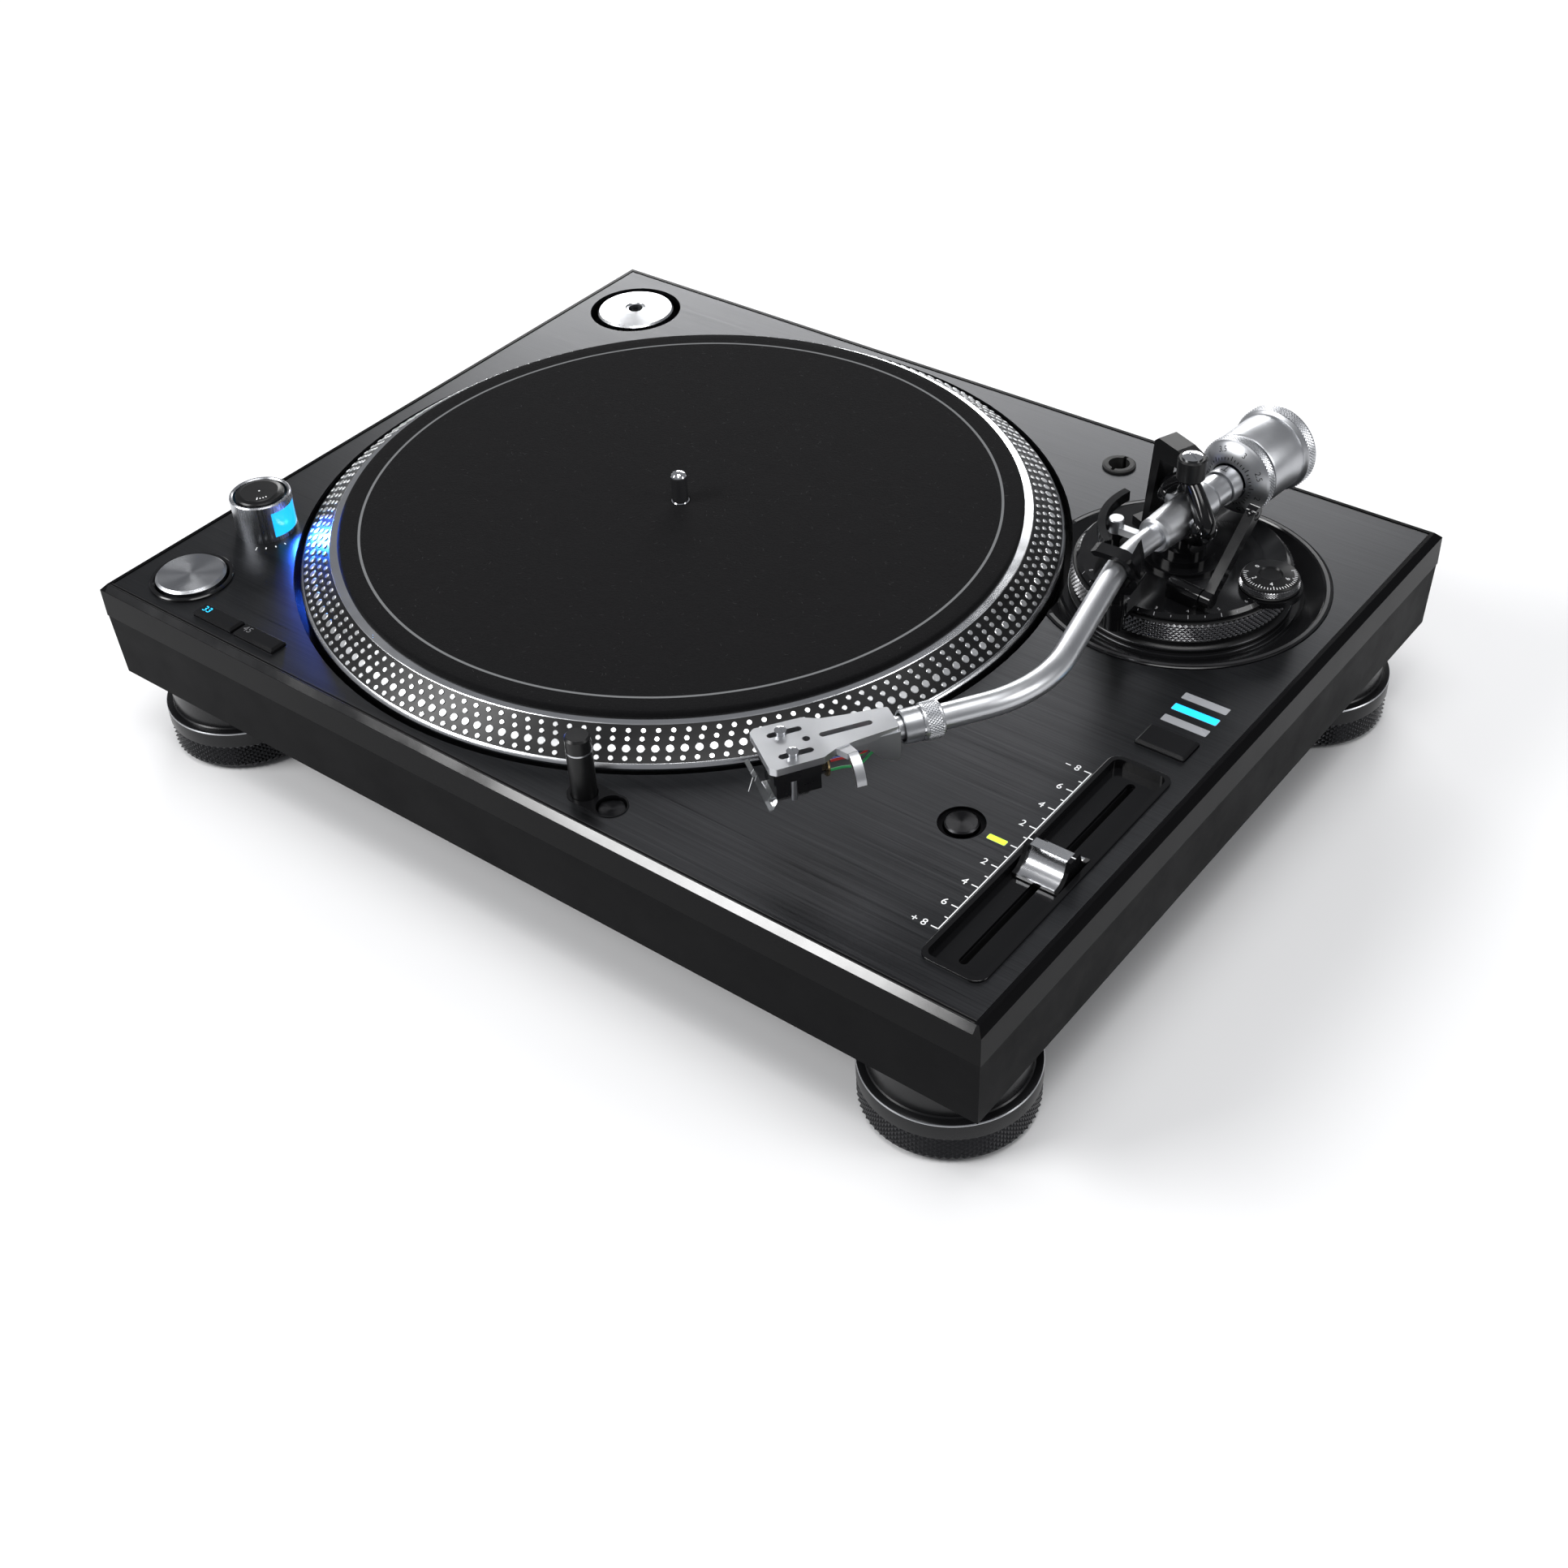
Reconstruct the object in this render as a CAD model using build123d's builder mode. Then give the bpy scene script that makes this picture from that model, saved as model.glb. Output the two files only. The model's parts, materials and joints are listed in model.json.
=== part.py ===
"""Direct-drive turntable record player with an S-shaped tonearm.

Frame: X to the right, Y to the back, Z up, millimetres. The origin is on the floor
under the middle of the cabinet. Heights on the deck are given from DECK, the top of
the cabinet's rim.
"""
from build123d import *
import os
from math import cos, hypot, radians, sin, tan

# ---------------------------------------------------------------- driving dimensions
WIDTH, DEPTH = 453.0, 353.0        # cabinet, left to right and front to back
DECK = 83.3                        # top of the rim above the floor
SEAM = DECK - 16.1                 # where the cast top frame meets the base shell
BASE_BOTTOM = DECK - 46.7          # underside of the base shell
RIM_BEVEL = 2.7                    # chamfer round the top of the rim
WALL = 3.5                         # cabinet wall
PANEL_TOP = DECK - 0.3             # brushed deck panel, set into the rim
PANEL_THICK = 1.5
PANEL_INSET = 4.3
PLATE_UNDER = DECK - 4.3           # underside of the cast top plate
RUN = 0.3                          # running gap between parts that move

PLATTER = (-45.6, 0.0)             # spindle
PLATTER_R = 166.0
WELL_R = 169.0                     # opening in the deck round the platter
WELL_FLOOR = DECK - 14.0
MAT_R, MAT_TOP, MAT_THICK = 148.2, DECK + 13.2, 2.5
MAT_HOLE_R = 4.3
SPINDLE_R, SPINDLE_TOP = 3.6, DECK + 27.5
SHOULDER_R, SHAFT_R = 3.95, 3.4    # spindle inside the mat, and in its bearing
ROTOR_R = 60.0

PIVOT = (152.6, 84.7)              # tonearm's vertical axis
ARM_Z = DECK + 33.0                # tonearm tube's centre line at rest
ARM_BEARING = -95.6                # direction of the tube at the pivot, from +X
BEND_1, BEND_2 = 18.0, -45.4       # turns of the S, left then right
RUN_1, RUN_2, RUN_3 = 43.5, 91.2, 41.0     # pivot to corner, corner to corner, corner to collar
BEND_R1, BEND_R2 = 80.0, 56.0
TUBE_R, TUBE_BORE = 4.9, 3.9
HOUSING_R = 8.0
WELL_DISC_R = 61.5                 # tonearm well
RING_R = 45.5                      # height adjusting ring
BASE_R = 37.9                      # tonearm base column
BASE_TOP = DECK + 12.0             # top of the tonearm base plate
BASE_THICK = 2.4
AXLE_SPREAD, AXLE_INSIDE = 17.0, 12.3      # gimbal bearings, each side of the pivot

START = (-196.7, -149.7)
SPEED_33, SPEED_45 = (-162.8, -163.6), (-137.5, -163.6)
SPEED_SIZE = (23.6, 8.0)
TOWER, TOWER_R, TOWER_TOP = (-199.5, -103.8), 13.5, DECK + 17.5
LIGHT_PLATE = (45.2, -159.55)
LAMP, LAMP_R, LAMP_TOP = (38.7, -159.6), 5.0, DECK + 27.5
LIGHT_BUTTON = (52.1, -159.6)
RESET = (163.2, -93.5)
RANGE, RANGE_SIZE = (201.4, -12.35), (21.0, 12.5)
RANGE_BARS = ((201.5, 17.3), (201.5, 9.3), (201.5, 1.3))
BAR_SIZE = (19.4, 4.2)
RESET_BAR, RESET_BAR_SIZE = (178.8, -94.0), (8.0, 2.9)
SLIDER, SLIDER_SIZE = (201.3, -93.7), (26.2, 130.2)
SLOT_SIZE = (3.4, 114.0)
ADAPTOR, ADAPTOR_R, ADAPTOR_POCKET_R = (-193.5, 140.9), 19.2, 23.0
SOCKET = (86.3, 147.3)             # spare headshell holder
FEET = ((-191.5, -142.0), (191.5, -142.0), (191.5, 139.7), (-191.5, 139.7))
FOOT_NAMES = ("foot_front_left", "foot_front_right", "foot_rear_right", "foot_rear_left")
FOOT_R, FOOT_BAND = 34.2, 21.4
DIAL = (191.4, 85.3)               # anti-skating dial
REST, REST_TURN = (150.1, 34.6), 13.9      # arm rest post, and the tube's turn above it
CUE = (179.5, 55.9, DECK + 17.2)   # end of the cue lever's shaft
CLIP_HINGE = (8.6, -2.4)           # beside and below the tube's centre, in the rest's frame
LIFTER = (127.4, 72.6)
BRACKET_HEADING = 157.5            # the bracket reaches out to the platter side
BRACKET_TOP = DECK + 57.8

os.makedirs("parts", exist_ok=True)


# ---------------------------------------------------------------- shared helpers
def save(built, name):
    """Label a finished piece and write it as the node of that name."""
    built.part.label = name
    export_step(built.part, f"parts/{name}.step")


def heading(angle):
    """Unit vector in the XY plane at an angle from +X, in degrees."""
    return Vector(cos(radians(angle)), sin(radians(angle)), 0)


def side_plane(origin, angle):
    """Vertical plane through origin whose x runs along a heading and whose y is up."""
    along = heading(angle)
    return Plane(origin=origin, x_dir=along, z_dir=along.cross(Vector(0, 0, 1)))


def cross_plane(origin, angle):
    """Vertical plane square to a heading, with its normal along it and its y up."""
    return Plane(origin=origin, x_dir=heading(angle + 90), z_dir=heading(angle))


def turned(profile, centre):
    """Solid of revolution about a vertical axis, from (radius, height) points."""
    with BuildPart() as solid:
        with BuildSketch(Plane(origin=(centre[0], centre[1], 0), x_dir=(1, 0, 0), z_dir=(0, -1, 0))):
            with BuildLine():
                Polyline(*profile, close=True)
            make_face()
        revolve(axis=Axis((centre[0], centre[1], 0), (0, 0, 1)))
    return solid


def arm_point(distance, height=0.0):
    """Point on the tonearm's rear and pivot line; forward of the pivot is positive."""
    along = heading(ARM_BEARING) * distance
    return (PIVOT[0] + along.X, PIVOT[1] + along.Y, ARM_Z + height)


# ---------------------------------------------------------------- S-shaped tube geometry
TUBE_HEADINGS = (ARM_BEARING, ARM_BEARING + BEND_1, ARM_BEARING + BEND_1 + BEND_2)
SHELL_HEADING = TUBE_HEADINGS[2]
GIMBAL_HEADING = SHELL_HEADING + 90.0      # bearings square to the headshell
CORNER_1 = Vector(PIVOT[0], PIVOT[1], ARM_Z) + heading(TUBE_HEADINGS[0]) * RUN_1
CORNER_2 = CORNER_1 + heading(TUBE_HEADINGS[1]) * RUN_2
COLLAR = CORNER_2 + heading(TUBE_HEADINGS[2]) * RUN_3      # rear face of the lock collar
COLLAR_LENGTH = 15.0
SHELL_START = 17.8                 # rear face of the headshell, forward of the collar's rear
SHELL_END = 68.6                   # front edge of the headshell
STYLUS_AT = 66.0


def shell_point(forward, side=0.0, height=0.0):
    """Point in the headshell's frame: forward of the collar, to its finger-lift side, up."""
    ahead = heading(SHELL_HEADING)
    across = heading(SHELL_HEADING + 90)
    return COLLAR + ahead * forward + across * side + Vector(0, 0, height)


def shell_plane(height):
    """Horizontal plane in the headshell's frame: x forward, y to the finger lift."""
    return Plane(origin=shell_point(0, 0, height), x_dir=heading(SHELL_HEADING), z_dir=(0, 0, 1))


SHELL_SIDE = side_plane(shell_point(0), SHELL_HEADING)     # its x is forward, its y is up


# ---------------------------------------------------------------- cabinet
def control_cutouts(gap):
    """Openings for every control on the deck, drawn larger all round by gap."""
    with Locations(START):
        Circle(17.0 + gap)
    with Locations(SPEED_33, SPEED_45):
        RectangleRounded(SPEED_SIZE[0] + 0.5 + 2 * gap, SPEED_SIZE[1] + 0.5 + 2 * gap, 0.8)
    with Locations(RANGE):
        RectangleRounded(RANGE_SIZE[0] + 0.5 + 2 * gap, RANGE_SIZE[1] + 0.5 + 2 * gap, 1.2)
    with Locations(*RANGE_BARS):
        RectangleRounded(BAR_SIZE[0] + 2 * gap, BAR_SIZE[1] + 2 * gap, 0.5)
    with Locations(RESET_BAR):
        RectangleRounded(RESET_BAR_SIZE[0] + 2 * gap, RESET_BAR_SIZE[1] + 2 * gap, 0.5)
    with Locations(TOWER):
        Circle(TOWER_R - 1.2 + gap)
    with Locations(LIGHT_PLATE):
        SlotOverall(26.8 + 2 * gap, 13.7 + 2 * gap)
    with Locations(SLIDER):
        RectangleRounded(SLIDER_SIZE[0] - 1.6 + 2 * gap, SLIDER_SIZE[1] - 1.6 + 2 * gap, 4.2)
    with Locations(SOCKET):
        Circle(6.2 + gap)


def make_top_casing():
    """Die-cast top frame: bevelled rim, platter bowl, adaptor cup and a seat for the arm well."""
    with BuildPart() as casing:
        with BuildSketch(Plane.XY.offset(SEAM)):
            Rectangle(WIDTH, DEPTH)
        extrude(amount=DECK - SEAM)
        chamfer(casing.faces().sort_by(Axis.Z)[-1].edges(), length=RIM_BEVEL)
        with BuildSketch(Plane.XY.offset(SEAM)):
            Rectangle(WIDTH - 2 * WALL, DEPTH - 2 * WALL)
        extrude(amount=PLATE_UNDER - SEAM, mode=Mode.SUBTRACT)
        with BuildSketch(Plane.XY.offset(WELL_FLOOR - 3.0)):
            with Locations(PLATTER):
                Circle(WELL_R + 3.0)
        extrude(amount=PLATE_UNDER - WELL_FLOOR + 3.2)
        with BuildSketch(Plane.XY.offset(DECK - 11.5)):
            with Locations(ADAPTOR):
                Circle(ADAPTOR_POCKET_R + 2.0)
        extrude(amount=PLATE_UNDER - DECK + 11.7)
        with BuildSketch(Plane.XY.offset(PANEL_TOP - PANEL_THICK)):
            Rectangle(WIDTH - 2 * PANEL_INSET, DEPTH - 2 * PANEL_INSET)
        extrude(amount=DECK, mode=Mode.SUBTRACT)
        with BuildSketch(Plane.XY.offset(WELL_FLOOR)):
            with Locations(PLATTER):
                Circle(WELL_R)
        extrude(amount=DECK, mode=Mode.SUBTRACT)
        with BuildSketch(Plane.XY.offset(SEAM - 10)):
            with Locations(PLATTER):
                Circle(70.0)
            with Locations(PIVOT):
                Circle(42.0)
        extrude(amount=DECK, mode=Mode.SUBTRACT)
        with BuildSketch(Plane.XY.offset(DECK - 7.5)):
            with Locations(PIVOT):
                Circle(57.5)
        extrude(amount=DECK, mode=Mode.SUBTRACT)
        with BuildSketch(Plane.XY.offset(DECK - 9.0)):
            with Locations(ADAPTOR):
                Circle(ADAPTOR_POCKET_R)
        extrude(amount=DECK, mode=Mode.SUBTRACT)
        with BuildSketch(Plane.XY.offset(DECK - 10.0)):
            with Locations(ADAPTOR):
                Circle(3.3)
        extrude(amount=8.5)
        with BuildSketch(Plane.XY.offset(PLATE_UNDER - 1)):
            control_cutouts(0.1)
            with Locations(RESET):
                Circle(7.0)
        extrude(amount=DECK, mode=Mode.SUBTRACT)
    save(casing, "top_casing")


def make_deck_panel():
    """Brushed aluminium panel with every opening of the deck."""
    with BuildPart() as panel:
        with BuildSketch(Plane.XY.offset(PANEL_TOP - PANEL_THICK)):
            Rectangle(WIDTH - 2 * PANEL_INSET - 0.6, DEPTH - 2 * PANEL_INSET - 0.6)
            with Locations(PLATTER):
                Circle(WELL_R, mode=Mode.SUBTRACT)
            with Locations(PIVOT):
                Circle(WELL_DISC_R + 0.3, mode=Mode.SUBTRACT)
            with Locations(ADAPTOR):
                Circle(ADAPTOR_POCKET_R, mode=Mode.SUBTRACT)
            with Locations(RESET):
                Circle(9.05, mode=Mode.SUBTRACT)
        extrude(amount=PANEL_THICK)
        with BuildSketch(Plane.XY.offset(PANEL_TOP - PANEL_THICK)):
            control_cutouts(0.0)
        extrude(amount=PANEL_THICK, mode=Mode.SUBTRACT)
    save(panel, "deck_panel")


def make_base_shell():
    """Heavy lower shell, tapered a little, with a floor, foot bosses and a rear recess."""
    with BuildPart() as base:
        with BuildSketch(Plane.XY.offset(SEAM)):
            Rectangle(WIDTH - 0.6, DEPTH - 0.6)
        with BuildSketch(Plane.XY.offset(BASE_BOTTOM)):
            Rectangle(WIDTH - 2.6, DEPTH - 2.6)
        loft()
        with BuildSketch(Plane.XY.offset(BASE_BOTTOM + WALL)):
            Rectangle(WIDTH - 2 * WALL, DEPTH - 2 * WALL)
        extrude(amount=SEAM, mode=Mode.SUBTRACT)
        with BuildSketch(Plane.XY.offset(BASE_BOTTOM)):
            with Locations(*FEET):
                Circle(13.0)
        extrude(amount=20.0)
        with BuildSketch(Plane.XY.offset(BASE_BOTTOM)):
            with Locations((40, DEPTH / 2 - 14.0)):
                Rectangle(136.0, 26.0)
        extrude(amount=26.0)
        with BuildSketch(Plane.XY.offset(BASE_BOTTOM - 1)):
            with Locations((40, DEPTH / 2 - 10.0)):
                Rectangle(130.0, 24.0)
        extrude(amount=24.0, mode=Mode.SUBTRACT)
        with BuildSketch(Plane.XY.offset(BASE_BOTTOM - 1)):
            with Locations(*FEET):
                Circle(5.4)
        extrude(amount=18.0, mode=Mode.SUBTRACT)
    save(base, "base_shell")


def make_bottom_plate():
    """Steel plate screwed under the base between the feet."""
    with BuildPart() as plate:
        with BuildSketch(Plane.XY.offset(BASE_BOTTOM - 1.5)):
            Rectangle(306.0, DEPTH - 8.0)
            with Locations((40, DEPTH / 2 - 10.0)):
                Rectangle(131.0, 26.0, mode=Mode.SUBTRACT)
        extrude(amount=1.5)
        with BuildSketch(Plane.XY.offset(BASE_BOTTOM - 2)):
            with GridLocations(280.0, 290.0, 2, 2):
                Circle(1.7)
        extrude(amount=3.0, mode=Mode.SUBTRACT)
    save(plate, "bottom_plate")


def make_bottom_screws():
    """Four pan-head screws that hold the bottom plate."""
    with BuildPart() as screws:
        with BuildSketch(Plane.XY.offset(BASE_BOTTOM - 3.1)):
            with GridLocations(280.0, 290.0, 2, 2):
                Circle(3.0)
        extrude(amount=1.6)
        with BuildSketch(Plane.XY.offset(BASE_BOTTOM - 1.5)):
            with GridLocations(280.0, 290.0, 2, 2):
                Circle(1.6)
        extrude(amount=1.5)
    save(screws, "bottom_screws")


def make_feet():
    """Four round insulator feet, each turned on its threaded stud."""
    profile = ((0, 0.0), (31.0, 0.0), (31.0, 1.2), (FOOT_R - 1.0, 1.2), (FOOT_R, 2.2),
               (FOOT_R, FOOT_BAND - 0.8), (FOOT_R - 0.8, FOOT_BAND), (30.5, FOOT_BAND),
               (30.5, BASE_BOTTOM - 1.8), (5.0, BASE_BOTTOM - 1.8), (5.0, BASE_BOTTOM + 15.0),
               (0, BASE_BOTTOM + 15.0))
    for centre, name in zip(FEET, FOOT_NAMES):
        save(turned(profile, centre), name)


# ---------------------------------------------------------------- inside the cabinet
def make_main_board():
    """Control board on four pillars, with its processor, heat sink and connectors."""
    with BuildPart() as board:
        with BuildSketch(Plane.XY.offset(BASE_BOTTOM + 8.0)):
            with Locations((60, -110)):
                Rectangle(150.0, 80.0)
        extrude(amount=1.6)
        with BuildSketch(Plane.XY.offset(BASE_BOTTOM + WALL)):
            with Locations((60, -110)):
                with GridLocations(140.0, 70.0, 2, 2):
                    Circle(3.0)
        extrude(amount=4.6)
        with BuildSketch(Plane.XY.offset(BASE_BOTTOM + 9.5)):
            with Locations((50, -105)):
                Rectangle(22.0, 22.0)
            with Locations((100, -125)):
                Rectangle(30.0, 12.0)
            with Locations((20, -135), (40, -135), (0, -135)):
                Rectangle(12.0, 6.0)
        extrude(amount=5.0)
    save(board, "main_board")


def make_power_supply():
    """Mains power supply: board, transformer core with its winding, and capacitors."""
    with BuildPart() as supply:
        with BuildSketch(Plane.XY.offset(BASE_BOTTOM + WALL)):
            with Locations((-128, 130)):
                Rectangle(90.0, 60.0)
        extrude(amount=3.0)
        with BuildSketch(Plane.XY.offset(BASE_BOTTOM + WALL + 2.9)):
            with Locations((-148, 128)):
                Rectangle(34.0, 30.0)
            with Locations((-113, 145), (-113, 125)):
                Circle(7.0)
        extrude(amount=17.0)
        with BuildSketch(Plane.XY.offset(BASE_BOTTOM + WALL + 6.0)):
            with Locations((-148, 128)):
                Rectangle(26.0, 42.0)
        extrude(amount=11.0)
    save(supply, "power_supply")


def make_terminal_panel():
    """Panel in the rear recess with two phono sockets and the earth terminal."""
    z = BASE_BOTTOM + 12.0
    with BuildPart() as panel:
        with BuildSketch(Plane.XY.offset(BASE_BOTTOM)):
            with Locations((40, DEPTH / 2 - 19.5)):
                Rectangle(129.0, 2.0)
        extrude(amount=22.6)
        back = Plane(origin=(0, DEPTH / 2 - 18.6, z), x_dir=(-1, 0, 0), z_dir=(0, 1, 0))
        with BuildSketch(back):
            with Locations((0, 0), (-18, 0)):
                Circle(4.1)
            with Locations((-38, 0)):
                Circle(3.4)
        extrude(amount=9.0)
        with BuildSketch(back):
            with Locations((0, 0), (-18, 0)):
                Circle(6.0)
            with Locations((-38, 0)):
                RegularPolygon(5.2, 6)
        extrude(amount=2.4)
        with BuildSketch(Plane(origin=(0, DEPTH / 2 - 12.0, z), x_dir=(-1, 0, 0), z_dir=(0, 1, 0))):
            with Locations((0, 0), (-18, 0)):
                Circle(1.6)
        extrude(amount=8.0, mode=Mode.SUBTRACT)
    save(panel, "terminal_panel")


def make_mains_inlet():
    """Two-pin mains inlet in the rear recess: a socket with a figure-of-eight mouth."""
    with BuildPart() as inlet:
        with BuildSketch(Plane(origin=(80, DEPTH / 2 - 18.5, BASE_BOTTOM + 12), x_dir=(-1, 0, 0),
                               z_dir=(0, 1, 0))):
            Rectangle(26.0, 15.0)
        extrude(amount=12.0)
        with BuildSketch(Plane(origin=(80, DEPTH / 2 - 17.0, BASE_BOTTOM + 12), x_dir=(-1, 0, 0),
                               z_dir=(0, 1, 0))):
            SlotOverall(16.0, 8.4)
        extrude(amount=12.0, mode=Mode.SUBTRACT)
        with BuildSketch(Plane(origin=(80, DEPTH / 2 - 18.0, BASE_BOTTOM + 12), x_dir=(-1, 0, 0),
                               z_dir=(0, 1, 0))):
            with GridLocations(8.2, 1.0, 2, 1):
                Circle(1.2)
        extrude(amount=9.0)
    save(inlet, "mains_inlet")


# ---------------------------------------------------------------- platter and motor
def make_platter():
    """Cast platter: flat bed for the mat, sloped edge band and a deep skirt."""
    bed = MAT_TOP - MAT_THICK
    profile = ((9.0, bed), (151.6, bed), (152.0, bed - 0.3), (164.7, DECK + 1.5),
               (PLATTER_R, DECK), (PLATTER_R, DECK - 9.0),
               (162.5, DECK - 9.0), (162.0, DECK - 1.0), (150.0, DECK + 6.5), (20.0, DECK + 6.5),
               (20.0, DECK + 4.0), (9.0, DECK + 4.0))
    save(turned(profile, PLATTER), "platter")


def make_slipmat():
    """Felt slipmat."""
    profile = ((MAT_HOLE_R, MAT_TOP - MAT_THICK), (MAT_R, MAT_TOP - MAT_THICK), (MAT_R, MAT_TOP),
               (MAT_HOLE_R, MAT_TOP))
    save(turned(profile, PLATTER), "slipmat")


def make_spindle():
    """Spindle with a domed tip, its shoulder in the mat, the hub in the platter, and its shaft."""
    bed = MAT_TOP - MAT_THICK
    profile = [(0, DECK - 26.0), (SHAFT_R, DECK - 26.0), (SHAFT_R, DECK + 4.2),
               (8.9, DECK + 4.2), (8.9, bed - 0.4), (SHOULDER_R, bed - 0.4), (SHOULDER_R, MAT_TOP),
               (SPINDLE_R, MAT_TOP)]
    dome = 2.6
    for step in range(7):
        tilt = radians(90.0 * step / 6)
        profile.append((SPINDLE_R * cos(tilt), SPINDLE_TOP - dome + dome * sin(tilt)))
    save(turned(profile, PLATTER), "spindle")


def make_rotor_magnet():
    """Rotor under the platter: steel cup with a ring magnet."""
    profile = ((20.2, DECK + 6.5), (ROTOR_R, DECK + 6.5), (ROTOR_R, DECK - 9.0), (52.0, DECK - 9.0),
               (52.0, DECK + 1.4), (20.2, DECK + 1.4))
    save(turned(profile, PLATTER), "rotor_magnet")


def make_motor_stator():
    """Stator: a hub with twelve wound poles inside the ring magnet."""
    hub_r, tip_r, poles = 22.0, 48.0, 12
    with BuildPart() as stator:
        with BuildSketch(Plane.XY.offset(WELL_FLOOR - 3.0)):
            with Locations(PLATTER):
                Circle(hub_r)
                Circle(10.0, mode=Mode.SUBTRACT)
        extrude(amount=14.0)
        with BuildSketch(Plane.XY.offset(DECK - 10.5)):
            with Locations(PLATTER):
                with PolarLocations((hub_r + tip_r) / 2, poles):
                    Rectangle(tip_r - hub_r, 5.0)
        extrude(amount=6.0)
        with BuildSketch(Plane.XY.offset(DECK - 12.0)):
            with Locations(PLATTER):
                with PolarLocations((hub_r + tip_r) / 2 - 1, poles):
                    Rectangle(tip_r - hub_r - 8.0, 8.4)
        extrude(amount=9.0)
    save(stator, "motor_stator")


def make_motor_bearing():
    """Bearing tube on the motor's mounting plate, under the bowl of the casing."""
    bore, plate_low, plate_top = SHAFT_R + 0.05, WELL_FLOOR - 7.0, WELL_FLOOR - 3.0
    profile = ((0, DECK - 30.0), (9.0, DECK - 30.0), (9.0, plate_low), (84.0, plate_low),
               (84.0, plate_top), (9.8, plate_top), (9.8, DECK + 1.0), (bore, DECK + 1.0),
               (bore, DECK - 26.4), (0, DECK - 26.4))
    save(turned(profile, PLATTER), "motor_bearing")


# ---------------------------------------------------------------- deck controls
def make_start_stop():
    """Start and stop: a trim ring and a large round button."""
    ring = ((15.6, DECK - 6.0), (16.9, DECK - 6.0), (16.9, PANEL_TOP), (18.1, PANEL_TOP),
            (18.1, DECK + 0.3), (17.6, DECK + 0.7), (16.4, DECK + 0.7), (15.6, DECK - 0.4))
    save(turned(ring, START), "start_stop_ring")
    button = ((0, DECK - 5.0), (15.25, DECK - 5.0), (15.25, DECK + 1.6), (14.2, DECK + 2.6),
              (8.0, DECK + 2.3), (0, DECK + 2.2))
    save(turned(button, START), "start_stop_button")


def bevelled_key(centre, size, top, bevel, name):
    """Rectangular key with bevelled top edges and a stem below the deck."""
    with BuildPart() as key:
        with BuildSketch(Plane.XY.offset(PLATE_UNDER + 0.4)):
            with Locations(centre):
                Rectangle(*size)
        extrude(amount=top - PLATE_UNDER - 0.4)
        chamfer(key.faces().sort_by(Axis.Z)[-1].edges(), length=bevel)
        fillet(key.edges().filter_by(Axis.Z), radius=0.5)
        with BuildSketch(Plane.XY.offset(PLATE_UNDER - 5.0)):
            with Locations(centre):
                Rectangle(size[0] * 0.4, size[1] * 0.5)
        extrude(amount=5.6)
    save(key, name)


def make_keys():
    """Speed keys and the tempo range key."""
    bevelled_key(SPEED_33, SPEED_SIZE, DECK + 1.6, 0.9, "speed_33_button")
    bevelled_key(SPEED_45, SPEED_SIZE, DECK + 1.6, 0.9, "speed_45_button")
    bevelled_key(RANGE, RANGE_SIZE, DECK + 1.4, 1.0, "tempo_range_button")


def make_reset_button():
    """Round reset button in its dished seat."""
    button = ((0, DECK - 8.0), (3.0, DECK - 8.0), (3.0, DECK - 3.6), (6.5, DECK - 3.6),
              (6.5, DECK - 0.3), (5.9, DECK + 0.3), (0, DECK))
    save(turned(button, RESET), "reset_button")


def make_indicator_lenses():
    """Three tempo range bars and the small reset bar, flush with the panel."""
    with BuildPart() as lenses:
        with BuildSketch(Plane.XY.offset(PLATE_UNDER)):
            with Locations(*RANGE_BARS):
                RectangleRounded(*BAR_SIZE, 0.5)
            with Locations(RESET_BAR):
                RectangleRounded(*RESET_BAR_SIZE, 0.5)
        extrude(amount=PANEL_TOP - PLATE_UNDER)
    save(lenses, "indicator_lenses")


def tower_sector(radius):
    """Sector of the tower that its window fills, facing the edge of the platter."""
    facing, half = 18.0, 42.0
    start, middle, end = (Vector(*TOWER) + heading(facing + turn) * radius for turn in (-half, 0, half))
    with BuildSketch() as sector:
        with BuildLine():
            ThreePointArc(start, middle, end)
            Polyline(end, Vector(*TOWER), start)
        make_face()
    return sector.sketch


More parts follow.
